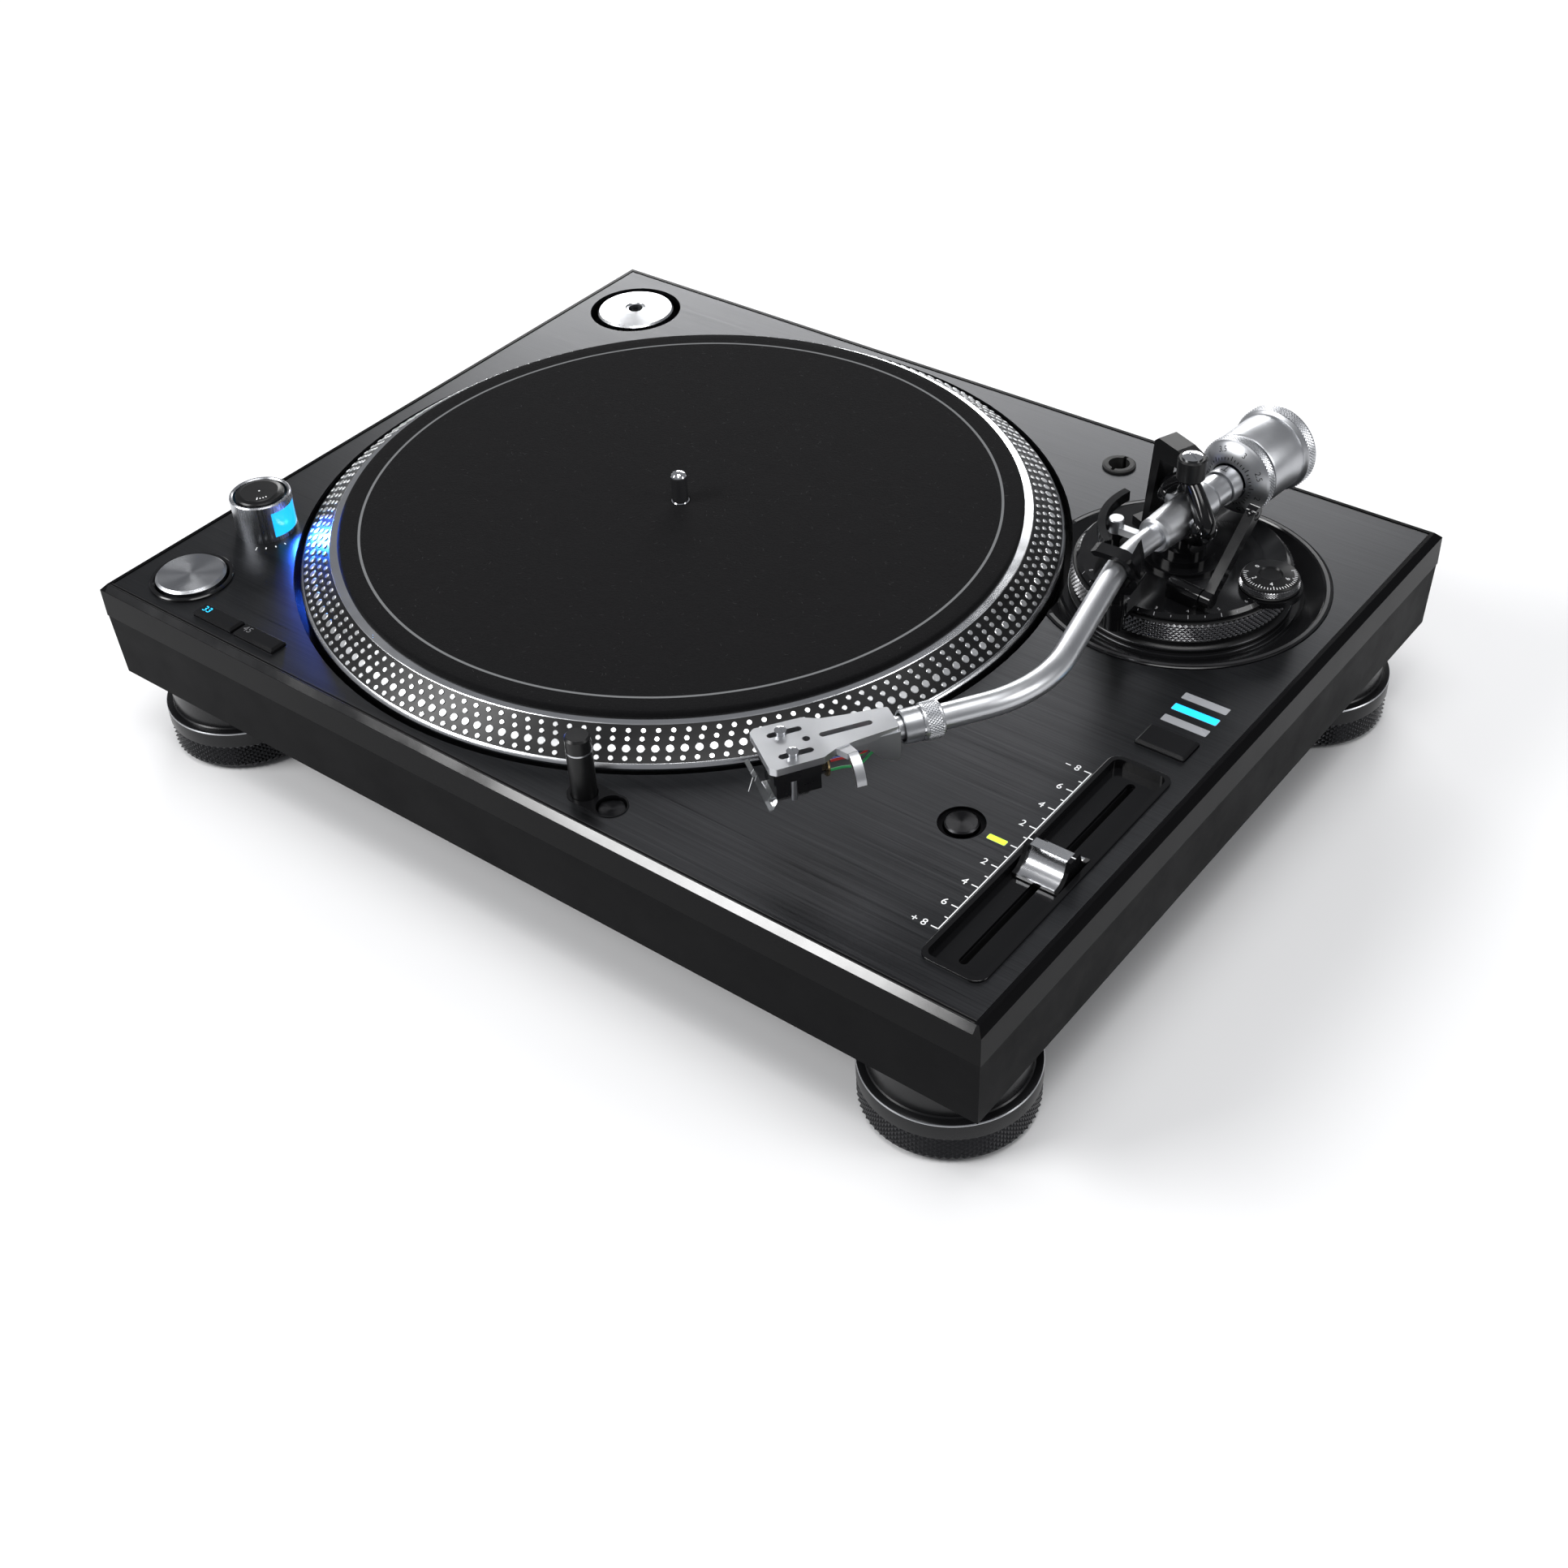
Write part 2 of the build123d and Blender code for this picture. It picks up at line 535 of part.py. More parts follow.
def make_tower():
    """Strobe tower: steel tube with a lit window towards the platter, and the power dial."""
    window_from, window_to = DECK + 1.6, DECK + 13.6
    opening, pane = tower_sector(TOWER_R + 2), tower_sector(TOWER_R - 0.3)
    with BuildPart() as tower:
        with BuildSketch(Plane.XY.offset(PANEL_TOP)):
            with Locations(TOWER):
                Circle(TOWER_R)
                Circle(TOWER_R - 1.6, mode=Mode.SUBTRACT)
        extrude(amount=TOWER_TOP - PANEL_TOP)
        chamfer(tower.edges().filter_by(GeomType.CIRCLE).group_by(Axis.Z)[-1], length=0.5)
        with BuildSketch(Plane.XY.offset(DECK - 8.0)):
            with Locations(TOWER):
                Circle(TOWER_R - 1.5)
                Circle(TOWER_R - 3.2, mode=Mode.SUBTRACT)
        extrude(amount=9.6)
        with BuildSketch(Plane.XY.offset(window_from)):
            add(opening)
        extrude(amount=window_to - window_from, mode=Mode.SUBTRACT)
    save(tower, "strobe_tower")
    with BuildPart() as window:
        with BuildSketch(Plane.XY.offset(window_from)):
            add(pane)
            with Locations(TOWER):
                Circle(TOWER_R - 1.5, mode=Mode.SUBTRACT)
        extrude(amount=window_to - window_from)
    save(window, "strobe_window")
    dial_r = TOWER_R - 1.6 - RUN
    profile = ((0, DECK - 6.0), (3.0, DECK - 6.0), (3.0, DECK + 13.9), (dial_r - 1.0, DECK + 13.9),
               (dial_r, DECK + 14.6), (dial_r, TOWER_TOP - 0.6), (dial_r - 1.6, TOWER_TOP + 0.5),
               (0, TOWER_TOP + 0.9))
    save(turned(profile, TOWER), "power_dial")


def make_target_light():
    """Pop-up stylus light: deck plate, lamp and the button that releases it."""
    with BuildPart() as plate:
        with BuildSketch(Plane.XY.offset(PLATE_UNDER)):
            with Locations(LIGHT_PLATE):
                SlotOverall(26.6, 13.5)
            with Locations(LAMP):
                Circle(LAMP_R + RUN, mode=Mode.SUBTRACT)
            with Locations(LIGHT_BUTTON):
                Circle(5.9, mode=Mode.SUBTRACT)
        extrude(amount=DECK - 0.1 - PLATE_UNDER)
    save(plate, "light_plate")
    with BuildPart() as lamp:
        with BuildSketch(Plane.XY.offset(DECK - 8.0)):
            with Locations(LAMP):
                Circle(LAMP_R)
        extrude(amount=LAMP_TOP - DECK + 8.0)
        chamfer(lamp.edges().filter_by(GeomType.CIRCLE).group_by(Axis.Z)[-1], length=0.8)
        with BuildSketch(Plane(origin=(LAMP[0], LAMP[1], LAMP_TOP - 4.6), x_dir=(1, 0, 0),
                               z_dir=(0, 1, 0))):
            Rectangle(4.6, 3.4)
        extrude(amount=8.0, mode=Mode.SUBTRACT)
    save(lamp, "target_lamp")
    with BuildPart() as button:
        with BuildSketch(Plane.XY.offset(DECK - 9.0)):
            with Locations(LIGHT_BUTTON):
                Circle(5.5)
        extrude(amount=7.6)
        fillet(button.edges().filter_by(GeomType.CIRCLE).group_by(Axis.Z)[-1], radius=0.5)
    save(button, "target_light_button")


def make_slider():
    """Tempo slider: tray with its slot, the fader under it and the metal cap."""
    floor = DECK - 3.5
    with BuildPart() as tray:
        with BuildSketch(Plane.XY.offset(floor - 1.5)):
            with Locations(SLIDER):
                RectangleRounded(SLIDER_SIZE[0] - 2.0, SLIDER_SIZE[1] - 2.0, 4.0)
        extrude(amount=PANEL_TOP - floor + 1.5)
        with BuildSketch(Plane.XY.offset(PANEL_TOP)):
            with Locations(SLIDER):
                RectangleRounded(*SLIDER_SIZE, 5.0)
        extrude(amount=0.8)
        fillet(tray.faces().sort_by(Axis.Z)[-1].outer_wire().edges(), radius=0.35)
        with BuildSketch(Plane.XY.offset(floor)):
            with Locations(SLIDER):
                RectangleRounded(SLIDER_SIZE[0] - 4.4, SLIDER_SIZE[1] - 4.4, 3.0)
        extrude(amount=DECK, mode=Mode.SUBTRACT)
        with BuildSketch(Plane.XY.offset(floor - 2)):
            with Locations(SLIDER):
                SlotOverall(SLOT_SIZE[1], SLOT_SIZE[0], rotation=90)
        extrude(amount=3.0, mode=Mode.SUBTRACT)
    save(tray, "slider_tray")
    with BuildPart() as fader:
        with BuildSketch(Plane.XY.offset(DECK - 16.0)):
            with Locations(SLIDER):
                Rectangle(16.0, 128.0)
                Rectangle(3.4, 114.0, mode=Mode.SUBTRACT)
        extrude(amount=10.6)
        with BuildSketch(Plane.XY.offset(DECK - 18.0)):
            with Locations(SLIDER):
                Rectangle(16.0, 128.0)
        extrude(amount=2.0)
    save(fader, "fader_unit")
    side = Plane(origin=(SLIDER[0] - 9.4, SLIDER[1], 0), x_dir=(0, 1, 0), z_dir=(1, 0, 0))
    low, ridge = DECK - 2.9, DECK + 6.6
    with BuildPart() as cap:
        with BuildSketch(side):
            with BuildLine():
                Line((-10.5, low), (10.5, low))
                Line((10.5, low), (10.5, low + 1.4))
                ThreePointArc((10.5, low + 1.4), (4.6, low + 3.6), (2.2, ridge))
                Line((2.2, ridge), (-2.2, ridge))
                ThreePointArc((-2.2, ridge), (-4.6, low + 3.6), (-10.5, low + 1.4))
                Line((-10.5, low + 1.4), (-10.5, low))
            make_face()
        extrude(amount=18.8)
        with BuildSketch(Plane.XY.offset(DECK - 12.0)):
            with Locations(SLIDER):
                Rectangle(1.4, 8.0)
        extrude(amount=low - DECK + 12.2)
    save(cap, "slider_cap")


def make_adaptor():
    """Adaptor for large-hole singles, loose in its cup."""
    profile = ((3.65, DECK - 8.7), (ADAPTOR_R, DECK - 8.7), (ADAPTOR_R, DECK - 0.6),
               (ADAPTOR_R - 0.8, DECK + 0.2), (5.2, DECK + 1.2), (4.6, DECK + 0.6),
               (3.65, DECK + 0.4))
    save(turned(profile, ADAPTOR), "single_adaptor")


def make_headshell_socket():
    """Rubber socket that holds a spare headshell: a flanged tube with two key slots."""
    profile = ((4.75, DECK - 14.0), (6.0, DECK - 14.0), (6.0, PANEL_TOP), (7.45, PANEL_TOP),
               (7.45, DECK + 0.5), (6.6, DECK + 0.9), (4.75, DECK + 0.9))
    tube = turned(profile, SOCKET).part
    with BuildPart() as socket:
        add(tube)
        with BuildSketch(Plane.XY.offset(DECK - 6.0)):
            with Locations(SOCKET):
                Rectangle(1.7, 12.9)
        extrude(amount=8.0, mode=Mode.SUBTRACT)
    save(socket, "headshell_socket")


# ---------------------------------------------------------------- tonearm base
def make_tonearm_well():
    """Dished plate round the tonearm base, cut away at the platter."""
    lip = DECK + 0.3
    profile = ((40.0, DECK - 7.0), (57.2, DECK - 7.0), (57.2, PANEL_TOP - PANEL_THICK),
               (WELL_DISC_R, PANEL_TOP - PANEL_THICK), (WELL_DISC_R, lip - 0.3),
               (WELL_DISC_R - 0.4, lip), (58.8, lip), (58.3, lip - 0.6), (50.5, DECK - 3.6),
               (49.0, DECK - 4.0), (40.0, DECK - 4.0))
    dish = turned(profile, PIVOT).part
    with BuildPart() as well:
        add(dish)
        with BuildSketch(Plane.XY.offset(DECK - 20)):
            with Locations(PLATTER):
                Circle(WELL_R)
        extrude(amount=40.0, mode=Mode.SUBTRACT)
        with BuildSketch(Plane.XY.offset(DECK - 20)):
            with Locations(PLATTER):
                Circle(WELL_R + 3.2)
        extrude(amount=12.5, mode=Mode.SUBTRACT)
    save(well, "tonearm_well")


def make_height_ring():
    """Knurled ring that raises and lowers the tonearm base."""
    profile = ((BASE_R + RUN, DECK - 3.7), (RING_R + 0.6, DECK - 3.7), (RING_R + 0.6, DECK - 2.2),
               (RING_R - 1.2, DECK - 1.4), (RING_R - 1.2, DECK), (RING_R, DECK + 0.4),
               (RING_R, DECK + 8.8), (RING_R - 0.5, DECK + 9.3), (BASE_R + RUN, DECK + 9.3))
    save(turned(profile, PIVOT), "height_ring")


def make_arm_base():
    """Tonearm base: column in the ring, top plate, dial seat, rest arm and bearing pillar."""
    under = BASE_TOP - BASE_THICK
    with BuildPart() as base:
        with BuildSketch(Plane.XY.offset(DECK - 13.0)):
            with Locations(PIVOT):
                Circle(BASE_R)
                Circle(BASE_R - 4.0, mode=Mode.SUBTRACT)
        extrude(amount=under - DECK + 13.0)
        with BuildSketch(Plane.XY.offset(under)):
            with Locations(PIVOT):
                Circle(43.4)
        extrude(amount=BASE_THICK)
        chamfer(base.faces().sort_by(Axis.Z)[-1].edges(), length=1.4)
        with BuildSketch(Plane.XY.offset(under)):
            with Locations(DIAL):
                Circle(13.4)
            with Locations(((DIAL[0] + PIVOT[0]) / 2, DIAL[1])):
                Rectangle(DIAL[0] - PIVOT[0], 20.0)
            with Locations((REST[0], (REST[1] + PIVOT[1]) / 2)):
                Rectangle(8.6, PIVOT[1] - REST[1])
            with Locations(REST):
                Circle(4.3)
        extrude(amount=BASE_THICK)
        with BuildSketch(Plane.XY.offset(DECK + 5.4)):
            with Locations(REST):
                Circle(4.3)
        extrude(amount=under - DECK - 5.3)
        for radius, height in ((17.0, 1.5), (12.5, 4.0), (9.0, 6.4), (3.0, 8.3)):
            with BuildSketch(Plane.XY.offset(BASE_TOP - 0.1)):
                with Locations(PIVOT):
                    Circle(radius)
            extrude(amount=height + 0.1)
        # carrier of the cue lever's shaft
        shaft = cross_plane((CUE[0], CUE[1], CUE[2]), 173.6)
        with BuildSketch(Plane.XY.offset(BASE_TOP - 0.1)):
            with Locations(Location((CUE[0] - 10.5, CUE[1] + 1.2, 0), (0, 0, -6.4))):
                Rectangle(15.0, 6.4)
        extrude(amount=CUE[2] - BASE_TOP + 0.1)
        with BuildSketch(Plane(origin=shaft.origin + heading(173.6) * 3.0, x_dir=shaft.x_dir,
                               z_dir=shaft.z_dir)):
            Circle(3.2)
        extrude(amount=15.0)
        with BuildSketch(Plane(origin=shaft.origin + heading(173.6) * 2.0, x_dir=shaft.x_dir,
                               z_dir=shaft.z_dir)):
            Circle(1.55)
        extrude(amount=9.0, mode=Mode.SUBTRACT)
        # well that guides the lifter's stem
        with BuildSketch(Plane.XY.offset(DECK - 8.0)):
            with Locations(LIFTER):
                Circle(4.6)
        extrude(amount=BASE_TOP + 1.5 - DECK + 8.0)
        with BuildSketch(Plane.XY.offset(DECK - 9.0)):
            with Locations(LIFTER):
                Circle(2.05)
        extrude(amount=60.0, mode=Mode.SUBTRACT)
        # hole for the dial's stem
        with BuildSketch(Plane.XY.offset(DECK + 5)):
            with Locations(DIAL):
                Circle(2.05)
        extrude(amount=20.0, mode=Mode.SUBTRACT)
    save(base, "arm_base")




def make_gimbal_bracket():
    """Bracket that rises beside the gimbal and holds the upper pivot in its cap."""
    face = side_plane((PIVOT[0], PIVOT[1], 0), BRACKET_HEADING)
    near, far = -1.2, 7.6
    start = Plane(origin=face.origin + face.z_dir * near, x_dir=face.x_dir, z_dir=face.z_dir)
    with BuildPart() as bracket:
        with BuildSketch(start):
            with BuildLine():
                Polyline((0, BRACKET_TOP - 1.6), (8.0, BRACKET_TOP), (19.8, BRACKET_TOP),
                         (22.2, BRACKET_TOP - 2.2), (26.6, BASE_TOP + 2.2), (32.5, BASE_TOP + 2.2),
                         (32.5, BASE_TOP), (19.4, BASE_TOP), (22.2, BASE_TOP + 9.0),
                         (18.0, BRACKET_TOP - 9.0), (0, BRACKET_TOP - 7.2), close=True)
            make_face()
        extrude(amount=far - near)
        with BuildSketch(Plane.XY.offset(DECK + 49.6)):
            with Locations(PIVOT):
                Circle(5.8)
        extrude(amount=9.0)
        chamfer(bracket.edges().filter_by(GeomType.CIRCLE).group_by(Axis.Z)[-1], length=0.6)
        with BuildSketch(Plane.XY.offset(DECK + 48.0)):
            with Locations(PIVOT):
                Circle(1.5)
        extrude(amount=3.0)
    save(bracket, "gimbal_bracket")


def make_arm_rest():
    """Arm rest: post at the end of the base's arm, with a saddle and the clip's lug."""
    saddle = ARM_Z - TUBE_R - RUN
    with BuildPart() as rest:
        with BuildSketch(Plane.XY.offset(BASE_TOP)):
            with Locations(REST):
                Circle(4.7)
        extrude(amount=6.0)
        with BuildSketch(Plane.XY.offset(BASE_TOP + 5.9)):
            with Locations(REST):
                Circle(3.2)
        extrude(amount=saddle - BASE_TOP - 7.8)
        with BuildSketch(rest_frame(4.6)):
            with BuildLine():
                Polyline((-9.0, -5.6), (-6.4, -8.2), (6.4, -8.2), (6.9, -5.4), (6.4, -3.8), (5.2, -5.2),
                         (-8.8, -5.2), close=True)
            make_face()
        extrude(amount=9.2)
        for back in (4.6, -3.7):
            with BuildSketch(rest_frame(back)):
                with Locations(CLIP_HINGE):
                    Circle(1.6)
                with BuildLine():
                    Polyline((5.0, -8.0), (6.6, -5.0), (7.4, -1.4), (10.0, -3.2), (7.4, -8.0), close=True)
                make_face()
            extrude(amount=0.9)
    save(rest, "arm_rest")




def rest_frame(back):
    """Plane square to the tube at the rest; its x points away from the platter, its y up."""
    across = cross_plane((REST[0], REST[1], ARM_Z), ARM_BEARING + REST_TURN)
    return Plane(origin=across.origin - across.z_dir * back, x_dir=across.x_dir, z_dir=across.z_dir)


def make_arm_clip():
    """Clip that closes over the tube, with a pointed tab to open it by."""
    inner = TUBE_R + 0.4
    outer = inner + 1.9
    with BuildPart() as clip:
        with BuildSketch(rest_frame(3.4)):
            with BuildLine():
                Line((-10.6, inner + 1.6), (-9.0, inner + 0.1))
                Line((-9.0, inner + 0.1), (0, inner))
                ThreePointArc((0, inner), (inner * sin(radians(45)), inner * cos(radians(45))), (inner, 0))
                Line((inner, 0), (CLIP_HINGE[0] - 1.5, CLIP_HINGE[1]))
                Line((CLIP_HINGE[0] - 1.5, CLIP_HINGE[1]), (CLIP_HINGE[0] + 1.5, CLIP_HINGE[1]))
                Line((CLIP_HINGE[0] + 1.5, CLIP_HINGE[1]), (outer + 0.4, 1.0))
                ThreePointArc((outer + 0.4, 1.0), (outer * sin(radians(45)), outer * cos(radians(45))),
                              (0, outer))
                Line((0, outer), (-8.6, outer + 0.6))
                Line((-8.6, outer + 0.6), (-10.6, inner + 1.6))
            make_face()
            with Locations(CLIP_HINGE):
                Circle(1.6)
        extrude(amount=6.8)
        with BuildSketch(rest_frame(1.6)):
            with BuildLine():
                Polyline((inner + 0.4, 1.4), (CLIP_HINGE[0] + 1.4, -1.4), (outer + 2.6, 8.0),
                         (outer + 0.8, 15.0), (outer - 1.4, 9.0), close=True)
            make_face()
        extrude(amount=3.2)
    save(clip, "arm_clip")


def make_lifter():
    """Cue lifter: stem, silver head and cross bar, and the curved rail beside the tube."""
    rail_top, bar_top = ARM_Z - TUBE_R - 1.1, ARM_Z - HOUSING_R - 0.6
    with BuildPart() as lifter:
        with BuildSketch(Plane.XY.offset(DECK - 6.0)):
            with Locations(LIFTER):
                Circle(2.0)
        extrude(amount=bar_top - DECK + 6.0)
        with BuildSketch(Plane.XY.offset(BASE_TOP + 6.5)):
            with Locations(LIFTER):
                Circle(3.1)
        extrude(amount=rail_top + 0.5 - BASE_TOP - 6.5)
        with BuildSketch(Plane.XY.offset(bar_top - 3.0)):
            with Locations((LIFTER[0] + 5.4, LIFTER[1] - 0.4)):
                Rectangle(10.8, 3.4)
        extrude(amount=3.0)
        with BuildSketch(Plane.XY.offset(rail_top - 4.6)):
            with BuildLine():
                for radius in (32.4, 35.6):
                    CenterArc(PIVOT, radius, 164.0, 70.0)
                for angle in (164.0, 234.0):
                    Line(Vector(*PIVOT) + heading(angle) * 32.4, Vector(*PIVOT) + heading(angle) * 35.6)
            make_face()
        extrude(amount=4.6)
        with BuildSketch(Plane.XY.offset(rail_top - 4.6)):
            with Locations(Location((LIFTER[0] - 2.6, LIFTER[1] - 1.3, 0), (0, 0, 26))):
                Rectangle(8.0, 3.2)
        extrude(amount=2.4)
    save(lifter, "lifter")


def make_cue_lever():
    """Cue lever: pin in its shaft, boss and a sloping arm with a rounded grip."""
    swing = side_plane(CUE, 83.6)
    length, rise = 38.5, 46.5
    with BuildPart() as lever:
        with BuildSketch(cross_plane((CUE[0], CUE[1], CUE[2]), 173.6)):
            Circle(1.5)
        extrude(amount=9.0)
        start = Plane(origin=swing.origin + heading(173.6) * 2.3, x_dir=swing.x_dir,
                      z_dir=swing.z_dir)
        with BuildSketch(start):
            Circle(3.3)
            with BuildLine():
                tip = Vector(cos(radians(rise)), sin(radians(rise))) * length
                side = Vector(-sin(radians(rise)), cos(radians(rise)))
                Polyline(side * 2.0, tip + side * 2.4, tip - side * 2.4, side * -2.0, close=True)
            make_face()
            with Locations(tip):
                Circle(2.6)
        extrude(amount=4.4)
    save(lever, "cue_lever")


def make_anti_skate_dial():
    """Anti-skating dial with its stem."""
    low = BASE_TOP + RUN
    stem = BASE_TOP - BASE_THICK + 0.2
    profile = ((0, stem), (2.0, stem), (2.0, low), (12.3, low), (12.3, low + 4.6),
               (11.7, low + 5.2), (5.0, low + 5.2), (4.4, low + 4.6), (0, low + 4.6))
    save(turned(profile, DIAL), "anti_skate_dial")


# ---------------------------------------------------------------- gimbal and tonearm


def make_pivot_yoke():
    """Yoke of the gimbal: a ring that turns on the vertical pivots and carries the side bearings."""
    face = side_plane((PIVOT[0], PIVOT[1], ARM_Z), GIMBAL_HEADING)
    front = Plane(origin=face.origin - face.z_dir * 3.6, x_dir=face.x_dir, z_dir=face.z_dir)
    half, inside = AXLE_SPREAD, AXLE_INSIDE
    with BuildPart() as yoke:
        with BuildSketch(front):
            with BuildLine():
                Polyline((-4.6, 15.6), (4.6, 15.6), (6.0, 12.6), (half - 1.6, 5.4), (half, 3.2), (half, -3.2),
                         (half - 1.6, -5.4), (5.6, -12.0), (-5.6, -12.0), (-half + 1.6, -5.4),
                         (-half, -3.2), (-half, 3.2), (-half + 1.6, 5.4), (-6.0, 12.6), close=True)
            make_face()
            with BuildLine():
                Polyline((0, 11.6), (inside, 5.0), (inside, -5.0), (5.2, -9.0), (-5.2, -9.0),
                         (-inside, -5.0), (-inside, 5.0), close=True)
            make_face(mode=Mode.SUBTRACT)
        extrude(amount=7.2)
        for angle in (GIMBAL_HEADING, GIMBAL_HEADING + 180):
            start = heading(angle) * inside
            with BuildSketch(cross_plane((PIVOT[0] + start.X, PIVOT[1] + start.Y, ARM_Z), angle)):
                Circle(5.2)
            extrude(amount=half - inside)
        for angle in (GIMBAL_HEADING, GIMBAL_HEADING + 180):
            start = heading(angle) * 10.0
            with BuildSketch(cross_plane((PIVOT[0] + start.X, PIVOT[1] + start.Y, ARM_Z), angle)):
                Circle(1.55)
            extrude(amount=12.0, mode=Mode.SUBTRACT)
        with BuildSketch(Plane.XY.offset(ARM_Z + 14.6)):
            with Locations(PIVOT):
                Circle(1.55)
        extrude(amount=4.0, mode=Mode.SUBTRACT)
    save(yoke, "pivot_yoke")


def make_pivot_screws():
    """Side pivot screws with slotted heads, in the ends of the yoke."""
    with BuildPart() as screws:
        for angle in (GIMBAL_HEADING, GIMBAL_HEADING + 180):
            tip = heading(angle) * 10.6
            head = heading(angle) * AXLE_SPREAD
            with BuildSketch(cross_plane((PIVOT[0] + tip.X, PIVOT[1] + tip.Y, ARM_Z), angle)):
                Circle(1.5)
            extrude(amount=AXLE_SPREAD - 10.6 + 0.5)
            with BuildSketch(cross_plane((PIVOT[0] + head.X, PIVOT[1] + head.Y, ARM_Z), angle)):
                Circle(3.7)
            extrude(amount=1.5)
            with BuildSketch(cross_plane((PIVOT[0] + head.X * 1.06, PIVOT[1] + head.Y * 1.06, ARM_Z),
                                         angle)):
                Rectangle(0.9, 9.0, rotation=30)
            extrude(amount=1.0, mode=Mode.SUBTRACT)
    save(screws, "pivot_screws")


def make_arm_housing():
    """Arm housing: barrel round the tube with two stubs that run on the side screws."""
    barrel = (((-13.0), 7.2), (-11.0, HOUSING_R), (8.0, HOUSING_R), (20.0, 7.4), (22.6, 7.4),
              (23.6, 6.4))
    with BuildPart() as housing:
        with BuildSketch(side_plane(arm_point(0), ARM_BEARING)):
            with BuildLine():
                Polyline((-13.0, 0), *barrel, (23.6, 0), close=True)
            make_face()
        revolve(axis=Axis(arm_point(0), heading(ARM_BEARING)))
        for angle in (GIMBAL_HEADING, GIMBAL_HEADING + 180):
            with BuildSketch(cross_plane(arm_point(0), angle)):
                Circle(4.4)
            extrude(amount=11.9)
        for angle in (GIMBAL_HEADING, GIMBAL_HEADING + 180):
            start = heading(angle) * 10.3
            with BuildSketch(cross_plane((PIVOT[0] + start.X, PIVOT[1] + start.Y, ARM_Z), angle)):
                Circle(1.55)
            extrude(amount=2.0, mode=Mode.SUBTRACT)
        with BuildSketch(cross_plane(arm_point(17.0), ARM_BEARING)):
            Circle(TUBE_R)
        extrude(amount=10.0, mode=Mode.SUBTRACT)
    save(housing, "arm_housing")


def make_rear_shaft():
    """Rear shaft that carries the counterweight, with its index collar."""
    profile = ((-13.0, 0), (-13.0, 6.8), (-21.6, 6.8), (-21.6, 6.2), (-22.2, 6.2), (-22.2, 7.6),
               (-28.4, 7.6), (-28.4, 5.6), (-80.0, 5.6), (-81.0, 4.8), (-81.0, 0))
    with BuildPart() as shaft:
        with BuildSketch(side_plane(arm_point(0), ARM_BEARING)):
            with BuildLine():
                Polyline(*profile, close=True)
            make_face()
        revolve(axis=Axis(arm_point(0), heading(ARM_BEARING)))
    save(shaft, "arm_rear_shaft")


def make_arm_tube():
    """S-shaped tonearm tube, hollow, swept through its two bends."""
    start = Vector(*arm_point(17.05))
    route = (start, CORNER_1, CORNER_2, Vector(*shell_point(7.0)))
    with BuildPart() as tube:
        with BuildLine():
            FilletPolyline(*route, radius=(BEND_R1, BEND_R2))
        with BuildSketch(cross_plane(start, ARM_BEARING)):
            Circle(TUBE_R)
            Circle(TUBE_BORE, mode=Mode.SUBTRACT)
        sweep()
    save(tube, "arm_tube")


def make_lock_collar():
    """Locking collar that draws the headshell's plug into the tube."""
    profile = ((0.0, TUBE_R + 0.1), (0.0, 6.6), (1.4, 7.0), (7.6, 7.0), (7.6, 6.6), (COLLAR_LENGTH, 6.4),
               (COLLAR_LENGTH, 5.4), (7.4, 5.4), (7.4, TUBE_R + 0.1))
    with BuildPart() as collar:
        with BuildSketch(SHELL_SIDE):
            with BuildLine():
                Polyline(*profile, close=True)
            make_face()
        revolve(axis=Axis(shell_point(0), heading(SHELL_HEADING)))
    save(collar, "lock_collar")


